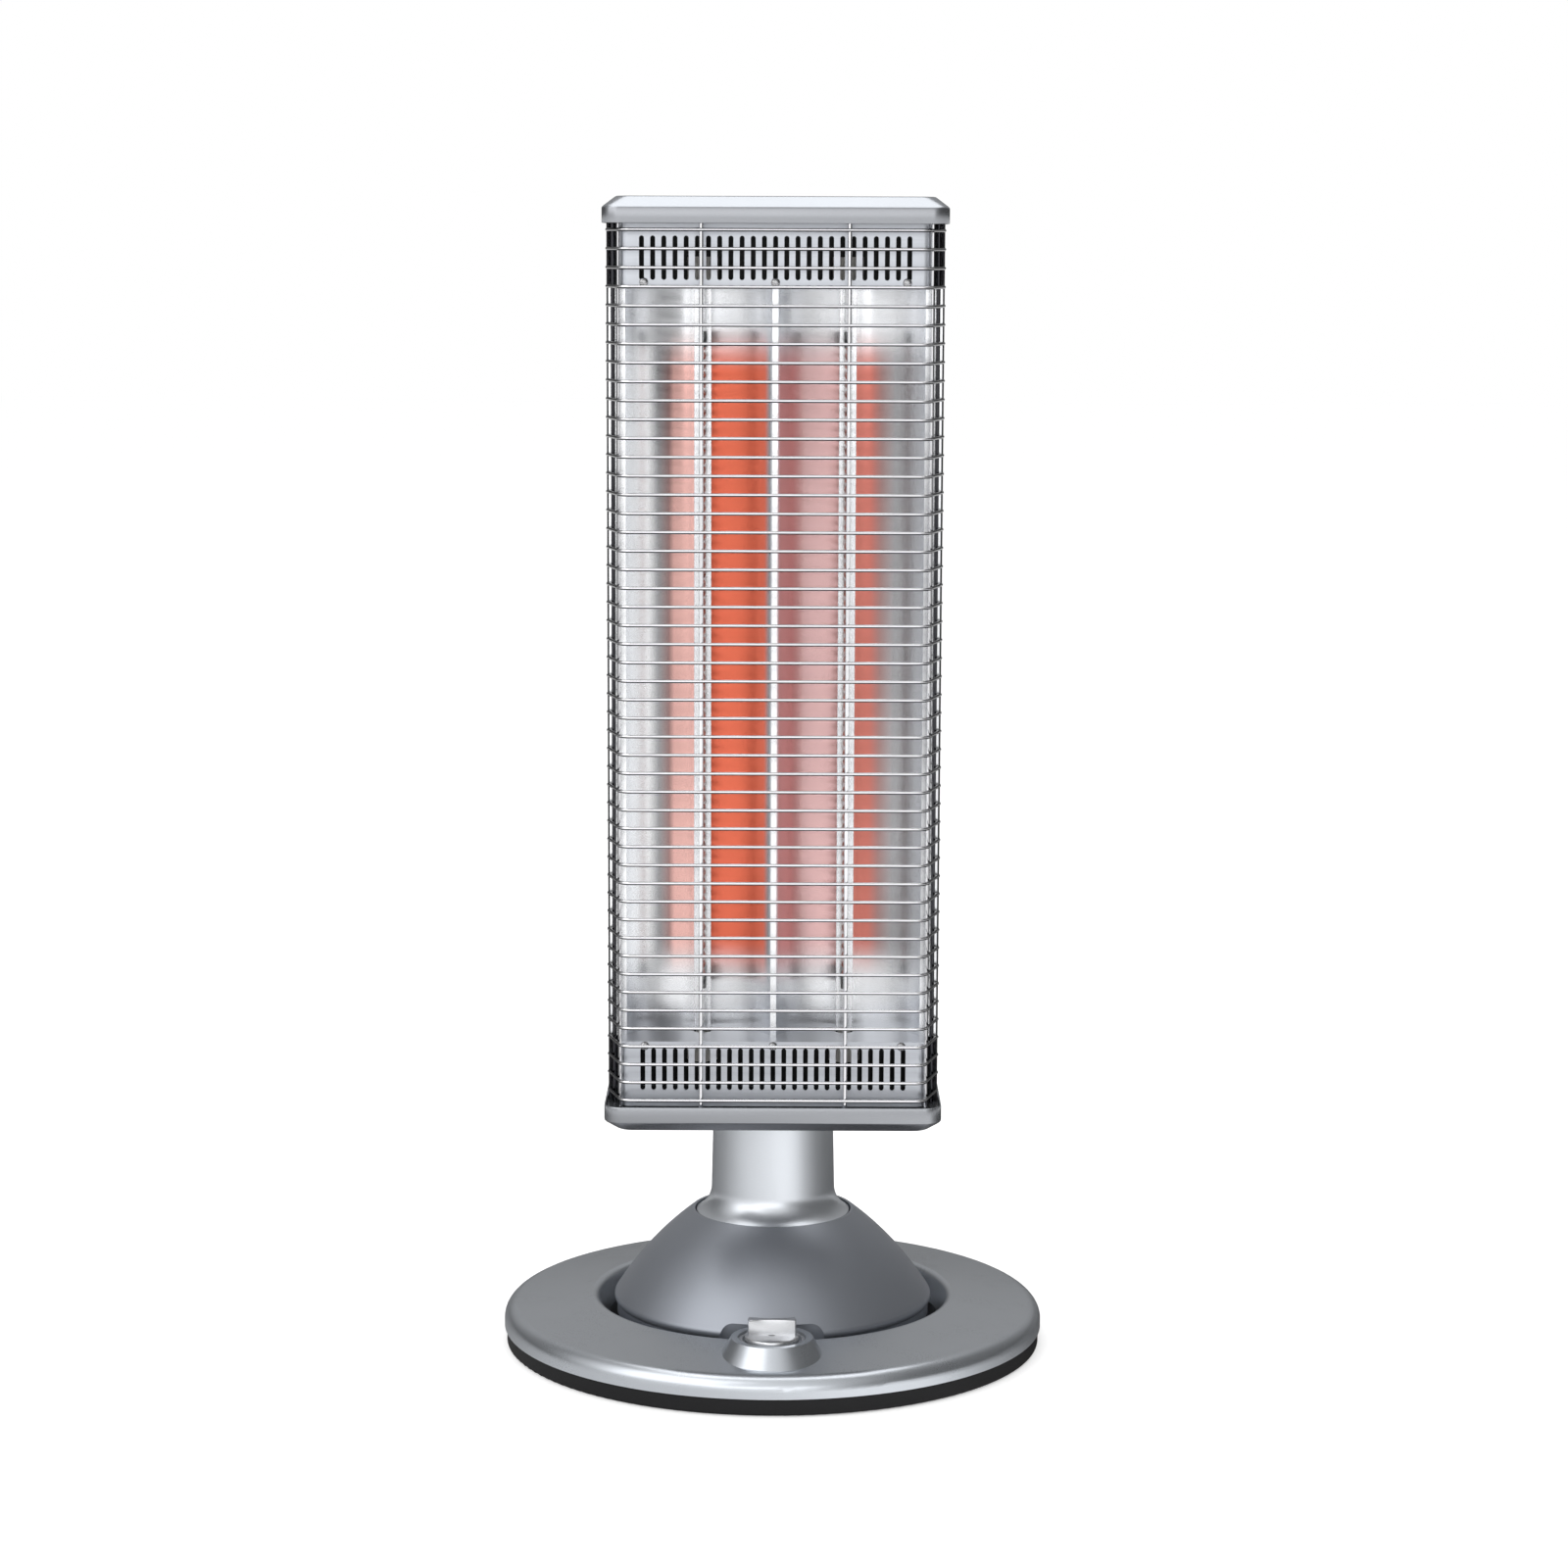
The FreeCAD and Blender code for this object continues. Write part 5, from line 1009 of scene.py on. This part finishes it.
# studio: white floor and background, soft boxes, the camera; places and box sizes in metres

studio = {
    "reach": 14.0, "floor": 0.80, "floorRough": 0.9, "floorLift": 0.53, "glossLift": 0.30,
    "nearEnd": 1.25, "farStart": 1.9, "far": 0.95, "worldLight": 0.72,
    # degrees round the heater from its front, and how pale the floor close by is there
    "sectors": [(-180, 0.06), (-150, 0.08), (-106, 0.16), (-80, 0.30), (-56, 0.50), (-36, 0.60),
                (-17, 0.66), (2, 0.80), (18, 1.0), (40, 0.96), (58, 0.45), (84, 0.12), (114, 0.06),
                (180, 0.06)],
    # name, place, target, width, height, power
    "boxes": [("keyBox", (-2.1, -1.9, 2.1), (0, 0, 0.30), 3.0, 3.0, 30),
              ("frontBox", (-0.2, -3.6, 0.9), (0, 0, 0.30), 3.2, 1.1, 12),
              ("topBox", (0.0, 0.25, 2.6), (0, 0, 0.2), 2.4, 1.8, 23)],
}
# what polished parts see of the room: a broad soft wall in front, dim sides, a rear that is dark low down
roomLook = {"front": (-0.42, -0.76, 0.50), "frontStart": 0.10, "frontEnd": 0.95, "frontLight": 0.95,
            "rearLow": 0.07, "rearHigh": 0.33, "rearStart": 0.04, "rearEnd": 0.26,
            "side": 0.30, "sideStart": 0.35, "sideEnd": 0.85}
cameraSizes = {"place": (5.88, -2256.7, 667.9), "pitch": 8.144, "roll": 0.215, "lens": 86.42,
               "sensor": 36.0, "clipEnd": 100.0}


def seenOn(tree, rays):
    return mathOn(tree, "MAXIMUM", rays["Is Camera Ray"], rays["Is Transmission Ray"])


def floorMaterial():
    # white to the camera; polished parts see it pale in front and dark close by to the sides
    s = studio
    white, far = (s["floor"],) * 3 + (1,), (s["far"],) * 3 + (1,)
    material, tree, shader = newMaterial("paleFloor", {
        "Roughness": s["floorRough"], "Specular IOR Level": 0.0})
    rays, place = raysOn(tree), splitOn(tree, "Object")
    angle = mathOn(tree, "ARCTAN2", place["X"], mathOn(tree, "MULTIPLY", place["Y"], -1.0))
    near = rampOn(tree, rangeOn(tree, angle, -math.pi, math.pi),
                  [((degrees + 180) / 360, (value,) * 3) for degrees, value in s["sectors"]])
    reach = addNode(tree, "ShaderNodeVectorMath", {0: coordOn(tree)}, operation="LENGTH").outputs["Value"]
    mirrored = mixBy(tree, smoothOn(tree, reach, s["nearEnd"], s["farStart"]), near, far)
    shade = mixBy(tree, rays["Is Glossy Ray"], white, mirrored)
    feed(tree, shader, {"Base Color": shade})
    strength = mathOn(tree, "MAXIMUM", mathOn(tree, "MULTIPLY", seenOn(tree, rays), s["floorLift"]),
                      mathOn(tree, "MULTIPLY", rays["Is Glossy Ray"], s["glossLift"]))
    lift = firstOf(tree, "ShaderNodeEmission", {"Color": shade, "Strength": strength})
    both = firstOf(tree, "ShaderNodeAddShader", {0: shader.outputs[0], 1: lift})
    feed(tree, tree.nodes["Material Output"], {"Surface": both})
    return material


def studioWorld():
    r = roomLook
    world = bpy.data.worlds.new("studio")
    scene.world = world
    world.use_nodes = True
    tree = world.node_tree
    rays, way = raysOn(tree), splitOn(tree, "Generated")
    facing = addNode(tree, "ShaderNodeVectorMath", {0: coordOn(tree, "Generated"), 1: r["front"]},
                     operation="DOT_PRODUCT").outputs["Value"]
    front = smoothOn(tree, facing, r["frontStart"], r["frontEnd"], 0.0, r["frontLight"])
    rear = smoothOn(tree, way["Z"], r["rearStart"], r["rearEnd"], r["rearLow"], r["rearHigh"])
    sides = smoothOn(tree, mathOn(tree, "ABSOLUTE", way["X"]), r["sideStart"], r["sideEnd"], 1.0, r["side"])
    room = mathOn(tree, "MAXIMUM", front, mathOn(tree, "MULTIPLY", rear, sides))
    mirrored = mathOn(tree, "MULTIPLY", room, rays["Is Glossy Ray"])
    other = mathOn(tree, "SUBTRACT", 1.0, rays["Is Glossy Ray"])
    soft = mathOn(tree, "MULTIPLY", other, studio["worldLight"])
    light = mathOn(tree, "MAXIMUM", seenOn(tree, rays), mathOn(tree, "ADD", mirrored, soft))
    feed(tree, tree.nodes["Background"], {"Color": (1, 1, 1, 1), "Strength": light})


def studioFloor():
    reach = studio["reach"]
    mesh = bpy.data.meshes.new("studioFloor")
    mesh.from_pydata([(-reach, -reach, 0), (reach, -reach, 0), (reach, reach, 0), (-reach, reach, 0)],
                     [], [(0, 1, 2, 3)])
    mesh.materials.append(floorMaterial())
    addObject("studioFloor", mesh)


def softBoxes():
    for name, place, target, width, height, power in studio["boxes"]:
        light = bpy.data.lights.new(name, "AREA")
        light.shape = "RECTANGLE"
        light.size = width
        light.size_y = height
        light.energy = power
        lamp = addObject(name, light)
        lamp.location = place
        lamp.rotation_euler = (Vector(target) - Vector(place)).to_track_quat("-Z", "Y").to_euler()


def photoCamera():
    c = cameraSizes
    lens = bpy.data.cameras.new("photoCamera")
    lens.lens = c["lens"]
    lens.sensor_width = c["sensor"]
    lens.sensor_fit = "HORIZONTAL"
    lens.clip_end = c["clipEnd"]
    camera = addObject("photoCamera", lens)
    pitch = Matrix.Rotation(math.radians(90 - c["pitch"]), 4, "X")
    roll = Matrix.Rotation(math.radians(c["roll"]), 4, "Z")
    camera.matrix_world = Matrix.Translation(Vector(c["place"]) * mm) @ pitch @ roll
    scene.camera = camera


studioFloor()
softBoxes()
studioWorld()
photoCamera()
scene.view_settings.view_transform = "Standard"
print("studio done")
